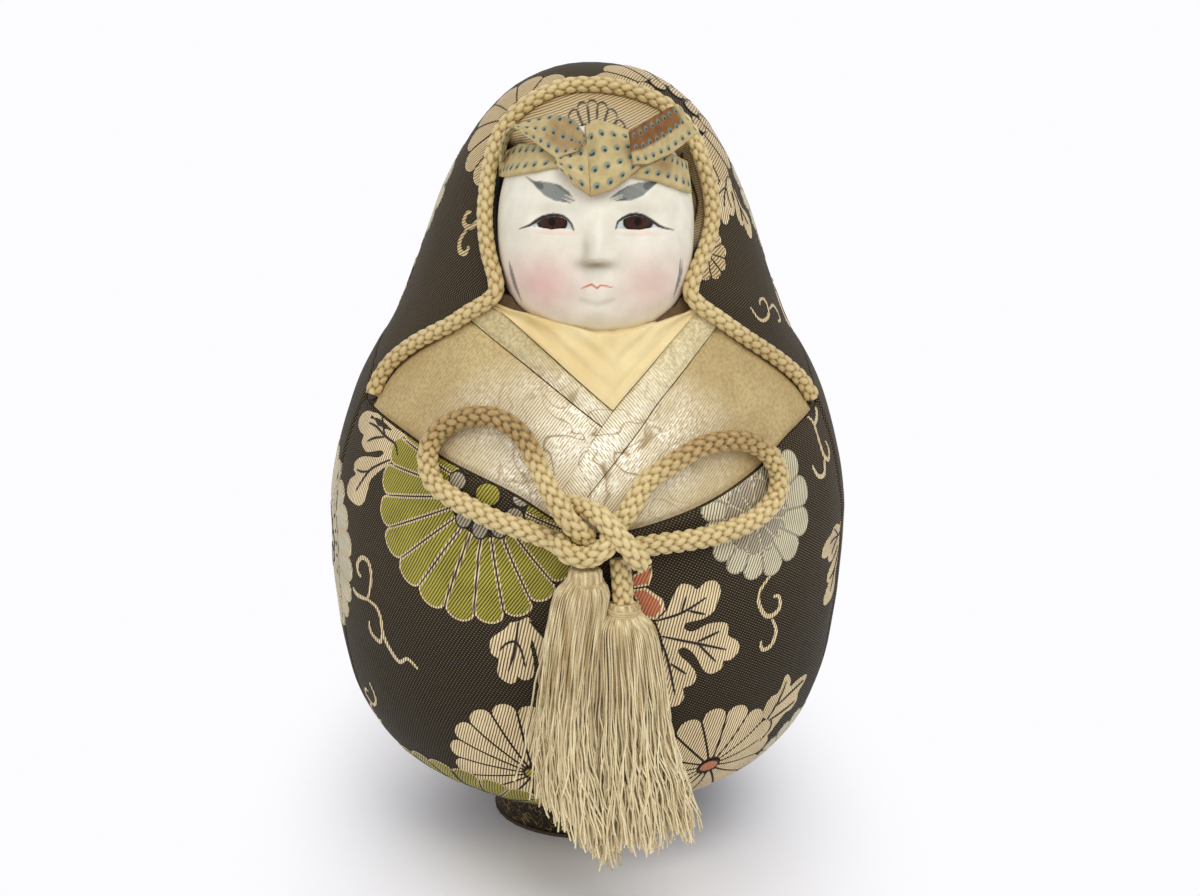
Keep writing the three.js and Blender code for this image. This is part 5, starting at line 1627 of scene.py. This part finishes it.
def yarn_lines(tassel, seed):
    dice = random.Random(seed)
    sections = tassel["sections"]
    first, last = sections[0][0], sections[-1][0]
    lines = []
    for i in range(YARNS):
        turn = i * GOLDEN_TURN
        depth = 0.35 + 0.65 * math.sqrt((i + 0.5) / YARNS)
        end = last * (1 - abs(tassel["slant"]) + tassel["slant"] * math.sin(turn))
        end *= dice.uniform(0.92, 1.03) if i % 4 else dice.uniform(0.76, 1.0)
        phase, waves = dice.uniform(0, 2 * math.pi), dice.uniform(1.4, 3.2)
        crimp, crimps = dice.uniform(0.15, 0.5), dice.uniform(4.0, 6.5)
        amount = dice.uniform(0.4, 1.5)
        roams = i % ROAMING_EVERY == ROAMING_FIRST
        if roams:
            amount *= ROAMING_SWAY
            waves *= ROAMING_WAVES
        stray = dice.gauss(0, 1.3) if i % 9 == 0 else dice.gauss(0, 0.4)
        line = []
        for k in range(YARN_STEPS + 1):
            share = (k / YARN_STEPS) ** 1.5
            drop = first + (end - first) * share
            shift, half_width, half_depth = section_at(sections, drop)
            loose = between(0.05, 0.9, share)
            sway = amount * loose
            x = shift + depth * half_width * math.sin(turn) + stray * 3 * share ** 2
            x += sway * math.sin(waves * 2 * math.pi * share + phase)
            x += crimp * loose * math.sin(crimps * 2 * math.pi * share + 3 * phase)
            y = -depth * half_depth * math.cos(turn) + 0.6 * sway * math.cos(waves * 5 * share + phase)
            y *= BACK_SHARE if y > 0 else 1.0
            y -= ROAMING_FORWARD * loose if roams else 0.0
            line.append(tassel["head"] + Vector((x, y, -drop)))
        lines.append(line)
    return lines


def polar(reach, angle):
    return reach * math.cos(angle), reach * math.sin(angle)


def wound(tassel, rise, radius, turns, pitch):
    line = []
    for k in range(20 * turns + 1):
        x, y = polar(radius, 2 * math.pi * k / 20)
        line.append(tassel["head"] + Vector((x, y, rise - pitch * k / 20)))
    return line


def as_bmesh(*meshes):
    bm = bmesh.new()
    for mesh in meshes:
        bm.from_mesh(mesh)
        bpy.data.meshes.remove(mesh)
    return bm


# A random tone for each strand, and darker towards the top.
def yarn_tone(p):
    strands = noise.noise(Vector((p.x * 1.3, p.y * 1.3, p.z * 0.03)))
    return 0.1 + 0.6 * strands + 0.22 * between(45, 85, p.z)


def tail_dust(p):
    return 0.04 + 0.15 * noise.noise(p * 0.1)


def thread_dust(p):
    return 0.35 + 0.4 * noise.noise(p * 0.6)


for seed, (side, tassel) in enumerate(TASSELS.items()):
    bm = as_bmesh(tubes(side + "_yarns", yarn_lines(tassel, 40 + seed), YARN_RADIUS, 0))
    cap = bmesh.ops.create_uvsphere(bm, u_segments=24, v_segments=16, radius=CORE_SHARE * tassel["ball"] * MM)
    bmesh.ops.translate(bm, verts=cap["verts"], vec=tassel["head"] * MM)
    skirt = make_piece(dust(bm, yarn_tone), side + "_tassel_yarns", [rayon_yarn],
                       [side + "_tassel_skirt"], side + "_tassel")
    wraps = [tubes(side + "_wrap", [wound(tassel, *wrap[:4])], wrap[4], 1) for wrap in tassel["wraps"]]
    make_piece(dust(as_bmesh(*wraps), thread_dust), side + "_tassel_thread", [wound_thread],
               [side + "_tassel_binding"], side + "_tassel")
    tail_end = tassel["head"] + Vector((0, 0, tassel["ball"] * 0.75))
    tail = smooth_path([tassel["top"], tassel["top"].lerp(tail_end, 0.5), tail_end], 6)
    cord = make_piece(dust(braid_mesh(tail), tail_dust), side + "_tail_braid", [rayon_cord],
                      [side + "_tail_cord"], None)
    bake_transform(cord)
    print(side, "tassel:", len(skirt.data.polygons), "faces")

# %% [markdown]
# The brocade's pattern is the traditional one of chrysanthemums, lobed leaves and tendrils. Each figure is
# drawn flat in millimetres as a few closed shapes, each with its colour and its level above the ground
# weave. Levels are tenths of a millimetre, as woven floats are, so the figures stand slightly proud and
# catch the light.

# %% Helpers that draw one woven figure
BEIGE, GREEN, GREY, SILVER, RED, GOLD, DARK = range(7)
WOVEN = [float_beige, float_green, float_grey, float_silver, float_red, float_gold, float_dark]
GROUND_LEVEL, FILL_LEVEL, LINE_LEVEL = 0.11, 0.19, 0.27
VEIN_WIDTH = 0.65


def ribbon(points, width, colour=DARK, level=LINE_LEVEL, taper=0.4):
    line = spline(points, 4)
    sides = []
    for i, (a, b) in enumerate(line):
        start, end = line[max(i - 1, 0)], line[min(i + 1, len(line) - 1)]
        run = Vector((end[0] - start[0], end[1] - start[1])).normalized()
        half = width / 2 * (1 - taper * abs(2 * i / (len(line) - 1) - 1) ** 2)
        sides.append(((a - run.y * half, b + run.x * half), (a + run.y * half, b - run.x * half)))
    return [((p[0], q[0], q[1], p[1]), colour, level) for p, q in zip(sides, sides[1:])]


def petal(angle, inner, outer, spread, rim):
    slope = math.tan(spread)
    shoulder = outer - 0.75 * outer * slope
    near, wide = max(inner * slope - rim, 0.12), shoulder * slope - rim
    points = [(inner, near)]
    for k in range(9):
        round_end = math.pi * k / 8
        points.append((shoulder + (outer - rim - shoulder) * math.sin(round_end), wide * math.cos(round_end)))
    points.append((inner, -near))
    cosine, sine = math.cos(angle), math.sin(angle)
    return [(a * cosine - b * sine, a * sine + b * cosine) for a, b in points]


def oval(middle, long_half, short_half, angle):
    points = []
    for k in range(14):
        a, b = polar(1.0, 2 * math.pi * k / 14)
        a, b = a * long_half, b * short_half
        points.append((middle[0] + a * math.cos(angle) - b * math.sin(angle),
                       middle[1] + a * math.sin(angle) + b * math.cos(angle)))
    return points


def kiku(petals, reach, inner, fill, outline=BEIGE, rim=0.75, lean=(0.0, 0.0), phase=0.0, seam=0.4):
    shapes = []
    spread = math.pi / petals
    for k in range(petals):
        angle = math.radians(phase) + 2 * spread * k
        push = lean[0] * math.cos(angle) + lean[1] * math.sin(angle)
        outer = push + math.sqrt(reach ** 2 - lean[0] ** 2 - lean[1] ** 2 + push ** 2)
        if outline is not None:
            shapes.append((petal(angle, inner, outer, spread, 0.0), outline, GROUND_LEVEL))
        if outline is not None and seam > 0:
            shapes += ribbon([polar(inner, angle + spread), polar(0.9 * outer, angle + spread)], seam)
        shapes.append((petal(angle, inner, outer, spread, rim), fill, FILL_LEVEL))
    return shapes


def rimmed(middle, long_half, short_half, angle, colour):
    return [(oval(middle, long_half + 0.5, short_half + 0.5, angle), DARK, LINE_LEVEL),
            (oval(middle, long_half, short_half, angle), colour, LINE_LEVEL + 0.08)]


def florets(count, ring, long_half, short_half, colour):
    shapes = []
    for k in range(count):
        angle = 2 * math.pi * k / count
        shapes += rimmed(polar(ring, angle), long_half, short_half, angle, colour)
    return shapes


def heart(long_half, short_half, colour):
    return rimmed((0, 0), long_half, short_half, 0.0, colour)


def leaf(outline, veins):
    shapes = [(spline(outline + outline[:1], 3)[:-1], BEIGE, GROUND_LEVEL)]
    for vein in veins:
        shapes += ribbon(vein, VEIN_WIDTH, taper=0.5)
    return shapes


def tendril(lines, width=1.35, colour=BEIGE):
    shapes = []
    for i, line in enumerate(lines):
        shapes += ribbon(line, width, colour, GROUND_LEVEL + 0.03 * i, taper=0.45)
    return shapes


def turned(shapes, degrees, size=1.0, mirror=1, rise=0.0):
    cosine, sine = size * math.cos(math.radians(degrees)), size * math.sin(math.radians(degrees))
    return [([(mirror * a * cosine - b * sine, mirror * a * sine + b * cosine) for a, b in points],
             colour, level + rise) for points, colour, level in shapes]


print("levels above the ground weave:", GROUND_LEVEL, FILL_LEVEL, LINE_LEVEL, "mm")

# %% [markdown]
# To weave a figure into a cloth, its shapes are sliced every 3 mm so that they can bend. Each point is then
# aimed from the middle of the doll and laid on the body. Points past a seam are drawn back to it, and the
# faces that lie wholly past it are left out, so the pattern runs into the seams as it does on cut cloth.

# %% Helpers that weave the figures in
SLICE = 3.0
EDGE_KEPT = 0.35
FLOAT_THICKNESS = 0.14


def clip_front(turn, z):
    side = seam_turn(z) - (SEAM_GAP + EDGE_KEPT) / radius_at(z)
    kept_turn = max(-side, min(side, turn))
    top = chest_edge_height(kept_turn) - SEAM_GAP - EDGE_KEPT
    kept_z = max(FOOT_TOP + 1, min(top, z))
    return kept_turn, kept_z, tuck(front_reach(kept_turn, kept_z))


def clip_back(turn, z):
    turn = turn % (2 * math.pi)
    side = seam_turn(z) + (SEAM_GAP + EDGE_KEPT) / radius_at(z)
    kept_turn = max(side, min(2 * math.pi - side, turn))
    top = back_seam_height(kept_turn) - SEAM_GAP - EDGE_KEPT
    kept_z = max(FOOT_TOP + 1, min(top, z))
    return kept_turn, kept_z, tuck(back_reach(kept_turn, kept_z))


def in_opening(x, z):
    inside = False
    for (x0, z0), (x1, z1) in zip(HOOD_LINE, HOOD_LINE[1:] + HOOD_LINE[:1]):
        if (z0 > z) != (z1 > z) and x < x0 + (x1 - x0) * (z - z0) / (z1 - z0):
            inside = not inside
    return inside


def clip_hood(turn, z):
    if math.cos(turn) > 0 and in_opening(radius_at(z) * math.sin(turn), z):
        return None
    floor = back_seam_height(turn) + SEAM_GAP + EDGE_KEPT
    return turn, max(z, floor), tuck(max(z, floor) - floor + EDGE_KEPT)


def weave_in(cloth, clip, turn_degrees, z, shapes):
    turn = math.radians(turn_degrees)
    flat = bmesh.new()
    for points, colour, level in shapes:
        face = flat.faces.new([flat.verts.new((a, b, level)) for a, b in points])
        face.material_index = colour
    bmesh.ops.remove_doubles(flat, verts=flat.verts, dist=0.001)
    for axis in (Vector((1, 0, 0)), Vector((0, 1, 0))):
        reach = [v.co.dot(axis) for v in flat.verts]
        at = min(reach) + SLICE
        while at < max(reach):
            bmesh.ops.bisect_plane(flat, geom=flat.verts[:] + flat.edges[:] + flat.faces[:],
                                   plane_co=axis * at, plane_no=axis)
            at += SLICE
    bmesh.ops.triangulate(flat, faces=flat.faces)
    flat.normal_update()
    bmesh.ops.reverse_faces(flat, faces=[f for f in flat.faces if f.normal.z < 0])

    anchor = on_body(turn, z)
    facing = on_body(turn, z, 1.0) - anchor
    across = Vector((math.cos(turn), DEPTH_RATIO * math.sin(turn), 0)).normalized()
    up = facing.cross(across)
    aim_from = Vector((0, 0, min(170.0, max(60.0, z))))
    threads = cloth.loops.layers.uv.verify()
    laid, inside = {}, {}
    for vert in flat.verts:
        aim = anchor + across * vert.co.x + up * vert.co.y - aim_from
        at = from_inside(aim_from, aim.normalized())
        spot_turn, spot_z = math.atan2(at.x, -at.y / DEPTH_RATIO), at.z
        kept = clip(spot_turn, spot_z)
        if kept is None:
            continue
        kept_turn, kept_z, sink = kept
        inside[vert] = abs(kept_z - spot_z) < 0.01 and abs(math.sin(kept_turn - spot_turn)) < 1e-3
        place = on_body(kept_turn, kept_z)
        laid[vert] = on_body(kept_turn, kept_z, 0.7 * sink + ripple(place) + vert.co.z) * MM
    spots = {}
    for face in flat.faces:
        if not all(v in laid for v in face.verts) or not any(inside[v] for v in face.verts):
            continue
        for vert in face.verts:
            if vert not in spots:
                spots[vert] = cloth.verts.new(laid[vert])
        woven = cloth.faces.new([spots[v] for v in face.verts])
        woven.material_index = face.material_index
        for loop, vert in zip(woven.loops, face.verts):
            loop[threads].uv = (vert.co.x * MM, vert.co.y * MM)
    flat.free()


def weave_all(name, clip, figures):
    cloth = bmesh.new()
    cloth.loops.layers.uv.new("threads")
    for turn_degrees, z, shapes in figures:
        weave_in(cloth, clip, turn_degrees, z, shapes)
    piece = make_piece(cloth, name, WOVEN, smooth=False)
    print(name, len(piece.data.polygons), "faces")
    return thicken(piece, FLOAT_THICKNESS)


# %% [markdown]
# These are the figures that repeat in the cloth: four leaves, four tendrils, nine chrysanthemums and a pair
# of red buds. Their outlines follow the photographed cloth.

# %% Leaves, tendrils and flowers
curled_leaf = leaf(
    [(0.4, 8.6), (-2.5, 7.4), (-7.2, 7.0), (-10.9, 4.9), (-11.2, 2.1), (-7.9, 0.5), (-5.6, 0.3),
     (-5.4, -2.2), (-1.8, -3.7), (1.0, -3.2), (5.8, -1.7), (7.5, -2.2), (5.6, -3.8), (1.5, -4.5),
     (-3.5, -5.7), (-6.7, -8.0), (-6.5, -10.4), (-4.8, -11.3), (-8.0, -13.7), (-9.5, -17.2),
     (-7.3, -19.4), (-1.3, -20.0), (1.9, -18.2), (3.2, -14.1), (3.5, -11.3), (7.0, -7.7), (10.1, -5.3),
     (12.8, -2.6), (13.6, -1.3), (12.4, 1.7), (13.8, 3.8), (15.3, 6.4), (11.9, 6.0), (9.4, 5.5),
     (6.8, 7.0), (3.9, 8.5)],
    [[(0.7, 8.1), (4.4, 4.8), (6.5, 2.6), (11.7, 1.3), (13.7, -1.6)], [(-3.7, 4.2), (1.5, 4.0), (6.6, 2.3)],
     [(-2.1, -0.8), (1.4, 0.9), (6.1, 2.2)], [(11.2, -3.3), (5.5, -6.3), (2.1, -8.8), (-3.0, -15.7)],
     [(-4.5, -9.8), (-1.2, -9.6), (2.0, -8.6)]])
short_leaf = leaf(
    [(-0.7, 9.5), (-1.8, 7.7), (-4.9, 5.2), (-6.2, 3.5), (-6.3, 0.6), (-5.3, -0.8), (-3.8, -1.7),
     (-4.3, -5.5), (-3.1, -7.4), (-0.6, -8.6), (1.1, -7.5), (1.5, -6.1), (3.2, -7.1), (5.6, -5.9),
     (6.1, -1.7), (5.2, 3.2), (5.7, 5.2), (6.8, 1.5), (7.9, -3.3), (9.2, -1.2), (9.4, 4.9), (8.0, 6.7),
     (6.2, 9.1), (4.6, 11.6), (2.5, 10.5), (0.9, 9.9)],
    [[(1.8, 10.0), (1.5, 7.0), (1.1, 4.1), (0.4, -0.1), (-1.1, -4.7)],
     [(-3.5, 1.0), (-2.0, 2.9), (-0.2, 4.0), (1.3, 3.9), (2.7, 1.5), (3.6, -2.8)],
     [(5.0, 10.6), (9.4, 5.5)]])
lobed_leaf = leaf(
    [(-12.5, 8.5), (-9.5, 11.2), (-7.6, 15.8), (-5.7, 18.5), (-2.7, 17.9), (-0.8, 16.5), (1.6, 18.3),
     (4.7, 18.2), (6.4, 15.3), (5.0, 10.7), (3.8, 9.0), (0.8, 7.6), (-3.7, 7.0), (-3.9, 5.2),
     (-1.5, 4.3), (2.7, 5.9), (7.2, 5.8), (9.3, 4.6), (9.5, 1.5), (13.1, -1.0), (13.5, -4.2),
     (10.8, -6.2), (8.7, -6.1), (8.3, -8.2), (5.1, -9.5), (2.4, -7.8), (-0.4, -3.1), (-3.6, -0.2),
     (-5.4, -0.7), (-5.0, -2.5), (-2.1, -5.3), (0.3, -8.8), (-0.4, -11.8), (-3.3, -12.7), (-2.8, -15.3),
     (-4.1, -17.8), (-7.1, -17.9), (-8.3, -14.1), (-9.3, -8.3), (-10.2, 1.6), (-10.6, 3.5)],
    [[(-12.5, 8.5), (-5.3, 10.1), (1.7, 13.8)], [(-5.3, 10.1), (-4.1, 14.8)], [(-3.0, 10.5), (1.6, 9.0)],
     [(-10.6, 3.8), (0.0, 0.5), (9.1, -2.7)], [(0.0, 0.5), (6.1, -5.9)], [(-0.1, 1.1), (6.4, 3.2)],
     [(-10.2, 1.6), (-8.1, -4.7), (-5.6, -14.4)], [(-7.5, -4.7), (-2.8, -8.3)]])
three_leaf = leaf(
    [(-9.3, -2.9), (-9.8, 0.3), (-8.1, 3.5), (-5.1, 4.0), (-3.9, 7.2), (-2.3, 9.4), (0.0, 7.2),
     (0.7, 4.3), (3.5, 5.1), (7.0, 5.6), (10.2, 5.1), (9.8, 2.7), (7.0, 0.3), (8.1, -2.9), (5.8, -5.3),
     (2.3, -5.3), (0.0, -7.7), (-2.3, -11.7), (-5.8, -14.6), (-7.4, -13.3), (-5.8, -10.1), (-8.1, -7.7),
     (-6.5, -5.3)],
    [[(-7.0, -4.2), (-3.5, 2.4), (-2.2, 7.0)], [(-4.5, -0.4), (3.0, 2.6), (8.4, 3.8)],
     [(-6.0, -5.0), (0.5, -3.6), (6.2, -2.6)], [(-5.6, -12.8), (-3.6, -8.5), (-5.0, -5.0)]])
long_tendril = tendril([
    [(-2.2, -0.4), (2.0, -1.4), (4.0, -4.5), (4.4, -8.8), (6.6, -12.6), (10.5, -16.1), (14.2, -14.2),
     (17.9, -16.7)],
    [(-5.0, 5.6), (-6.8, 6.6), (-7.1, 9.0), (-4.5, 11.6), (-1.2, 11.2), (0.2, 8.0), (-0.5, 3.5),
     (-2.2, -0.4)],
    [(-10.8, 0.7), (-8.2, -0.7), (-2.2, -0.4)],
    [(-1.9, -6.9), (-1.9, -10.0), (1.0, -11.7), (3.0, -11.7), (4.4, -8.8)]])
HOOK = [[(-1.0, 10.3), (-4.2, 6.8), (-4.6, 3.2), (-2.0, -1.0), (1.2, -1.7), (3.9, 0.1), (3.2, 3.4),
         (1.1, 3.8)],
        [(0.9, -2.8), (3.1, -7.1), (1.6, -11.1), (-1.6, -11.6), (-2.7, -8.8)]]
hook_tendril = tendril(HOOK)
broad_tendril = tendril(HOOK, 2.1, GOLD)
fork_tendril = tendril([
    [(-4.0, 11.0), (-1.0, 6.5), (-0.5, 2.0), (0.5, -3.0), (3.6, -5.2), (5.8, -2.8), (4.4, 0.2)],
    [(5.6, 10.5), (2.8, 7.6), (-0.9, 6.0)],
    [(-8.0, -4.4), (-5.6, -8.0), (-1.6, -8.2), (0.4, -4.0)]])
green_kiku = (kiku(24, 34.4, 11.6, GREEN, lean=(-6.0, -6.2), phase=2.0)
              + florets(11, 9.6, 2.5, 2.2, GREY) + heart(3.4, 3.0, GREEN))
fan_kiku = kiku(18, 24.0, 3.4, BEIGE, None, 0.38, (-3.0, 2.5), 10.0) + heart(2.6, 2.0, GREEN)
orange_kiku = kiku(15, 24.0, 3.9, BEIGE, None, 0.38, phase=2.0) + heart(2.9, 2.1, RED)
silver_kiku = ([(oval((1.5, 0.5), 13.0, 12.4, 0.0), GREY, 0.1)]
               + kiku(14, 20.5, 10.0, SILVER, GREY, 0.4, (3.5, 1.5), 11.0, 0.0)
               + kiku(11, 11.8, 1.6, GREY, SILVER, 0.35, (1.5, 0.5), 4.0, 0.0))
limb_kiku = kiku(20, 29.0, 9.0, SILVER, BEIGE, 0.6, phase=9.0, seam=0.0) + florets(9, 7.6, 2.2, 1.9, GREY)
low_kiku = kiku(22, 37.0, 9.0, GREEN, phase=5.0) + florets(9, 7.6, 2.2, 1.9, GREY)
gold_kiku = kiku(13, 20.0, 6.5, GOLD, BEIGE, 0.4, phase=8.0, seam=0.3) + florets(7, 5.0, 2.0, 1.7, BEIGE)
hood_kiku = kiku(15, 27.0, 11.5, GOLD, BEIGE, 0.45, phase=8.0, seam=0.35) + florets(9, 9.4, 2.8, 2.4, GOLD)
edge_kiku = kiku(10, 7.8, 1.8, GOLD, BEIGE, 0.35, seam=0.3)
red_buds = [
    ([(-4.8, 5.6), (-1.0, 7.4), (0.9, 8.6), (1.0, 5.6), (0.2, 2.8), (-4.2, 2.3)], BEIGE, GROUND_LEVEL),
    ([(-4.4, 5.2), (-1.0, 6.7), (0.6, 7.9), (0.3, 5.6), (-0.3, 3.4), (-3.7, 2.9)], RED, FILL_LEVEL),
    ([(-4.6, 1.8), (-0.6, 2.2), (4.2, -1.4), (5.0, -4.4), (2.2, -7.2), (-1.4, -6.0), (-2.6, -2.2)], BEIGE,
     GROUND_LEVEL),
    ([(-4.0, 1.3), (-0.9, 1.5), (3.0, -1.7), (3.8, -4.1), (1.9, -6.3), (-1.0, -5.4), (-2.0, -2.4)], RED,
     FILL_LEVEL)]
print("woven figures drawn")

# %% [markdown]
# On the front the figures sit where the photograph shows them, and those at its edges are partly guessed.
# The hood and the back, of which the photograph shows little or nothing, carry the same figures in the same
# spacing. Places are a turn in degrees and a height.

# %% The pattern of the front, the back and the hood
front_flowers = weave_all("front_flowers", clip_front, [
    (-22.6, 119.9, green_kiku), (-58.8, 127.1, curled_leaf), (-53.7, 82.3, long_tendril),
    (-84.0, 91.5, limb_kiku), (-16.6, 76.0, short_leaf), (21.8, 78.4, lobed_leaf),
    (10.7, 94.2, red_buds), (40.0, 84.5, hook_tendril), (35.0, 112.6, turned(silver_kiku, 0, 1.0, 1, 0.05)),
    (-13.3, 38.2, fan_kiku),
    (30.6, 37.0, orange_kiku), (50.9, 52.7, three_leaf), (-46.0, 14.5, turned(low_kiku, 0, 1.0, 1, 0.1)),
    (63.5, 125.6, fork_tendril), (66.0, 94.0, turned(curled_leaf, 10, 0.8)),
    (64.0, 30.0, turned(silver_kiku, 30, 0.8)), (-64.0, 46.5, turned(hook_tendril, -20, 0.8, -1)),
    (8.0, 20.0, turned(three_leaf, 70, 0.9))])
back_flowers = weave_all("back_flowers", clip_back, [
    (205.0, 112.0, green_kiku), (276.0, 91.5, limb_kiku),
    (146.0, 116.0, turned(silver_kiku, 0, 1.2)), (170.0, 84.0, turned(lobed_leaf, 20)),
    (242.0, 92.0, turned(curled_leaf, -15)), (222.0, 74.0, long_tendril), (158.0, 84.0, hook_tendril),
    (130.0, 88.0, turned(lobed_leaf, -20)), (196.0, 42.0, fan_kiku), (150.0, 40.0, orange_kiku),
    (104.0, 60.0, turned(fan_kiku, 60, 0.9)), (240.0, 40.0, turned(silver_kiku, 0, 1.15)),
    (222.0, 140.0, turned(short_leaf, 20)), (176.0, 144.0, turned(orange_kiku, 0, 0.6)),
    (118.0, 132.0, turned(long_tendril, 20)), (256.0, 126.0, turned(fork_tendril, 10)),
    (108.0, 102.0, turned(short_leaf, -30)), (177.0, 59.0, turned(three_leaf, 30, 0.8)),
    (218.0, 22.0, turned(green_kiku, 0, 0.6)), (128.0, 60.0, turned(hook_tendril, 40)),
    (200.0, 150.0, turned(hook_tendril, -60))])
hood_flowers = weave_all("hood_flowers", clip_hood, [
    (-43.0, 215.0, turned(gold_kiku, 20, 1.07)), (50.6, 219.0, hood_kiku),
    (59.0, 193.0, turned(curled_leaf, 60, 0.66)), (38.6, 181.0, edge_kiku),
    (62.6, 163.2, turned(hook_tendril, 70, 0.8)), (-48.5, 187.5, turned(broad_tendril, 0, 0.74, -1)),
    (-98.0, 166.0, turned(short_leaf, -30)),
    (100.0, 190.0, turned(silver_kiku, 0, 1.1)), (180.0, 196.0, turned(orange_kiku, 0, 0.95)),
    (224.0, 186.0, turned(lobed_leaf, 10, 0.75)), (137.0, 188.0, turned(lobed_leaf, 190, 0.75)),
    (255.0, 190.0, turned(silver_kiku, 0, 0.9)), (180.0, 223.0, turned(curled_leaf, 100, 0.65)),
    (120.0, 164.0, turned(long_tendril, 70)), (236.0, 168.0, turned(long_tendril, 200)),
    (88.0, 158.0, turned(short_leaf, 30))])

# %% [markdown]
# Four CAD nodes keep their own shape, because they are hidden or plain: the pressed core, which shows only
# as a dark line in the seams and is coloured a darker brown than its own as painted seam shade, the turned
# foot and the peg of the head, and the felt pad. They only need a material.

# %% Materials of the plain nodes
for name, material in (("body_core", seam_shade_paste), ("foot_block", cedar), ("neck_peg", cedar),
                       ("foot_pad", felt)):
    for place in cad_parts[name].material_slots:
        place.material = material
    print(name, "is", material.name)

# %% [markdown]
# The loops of the bow are free lengths of cord, and the cloth pieces are sheets. Each bow loop's piece,
# points and length are looked up.

# %% Cords and sheets
for name in ("bow_left_braid", "bow_right_braid"):
    piece, points, length = bow[name]

# %% Sizes
low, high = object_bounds()
print("visual box, mm:", [round((h - l) / MM, 1) for l, h in zip(low, high)])
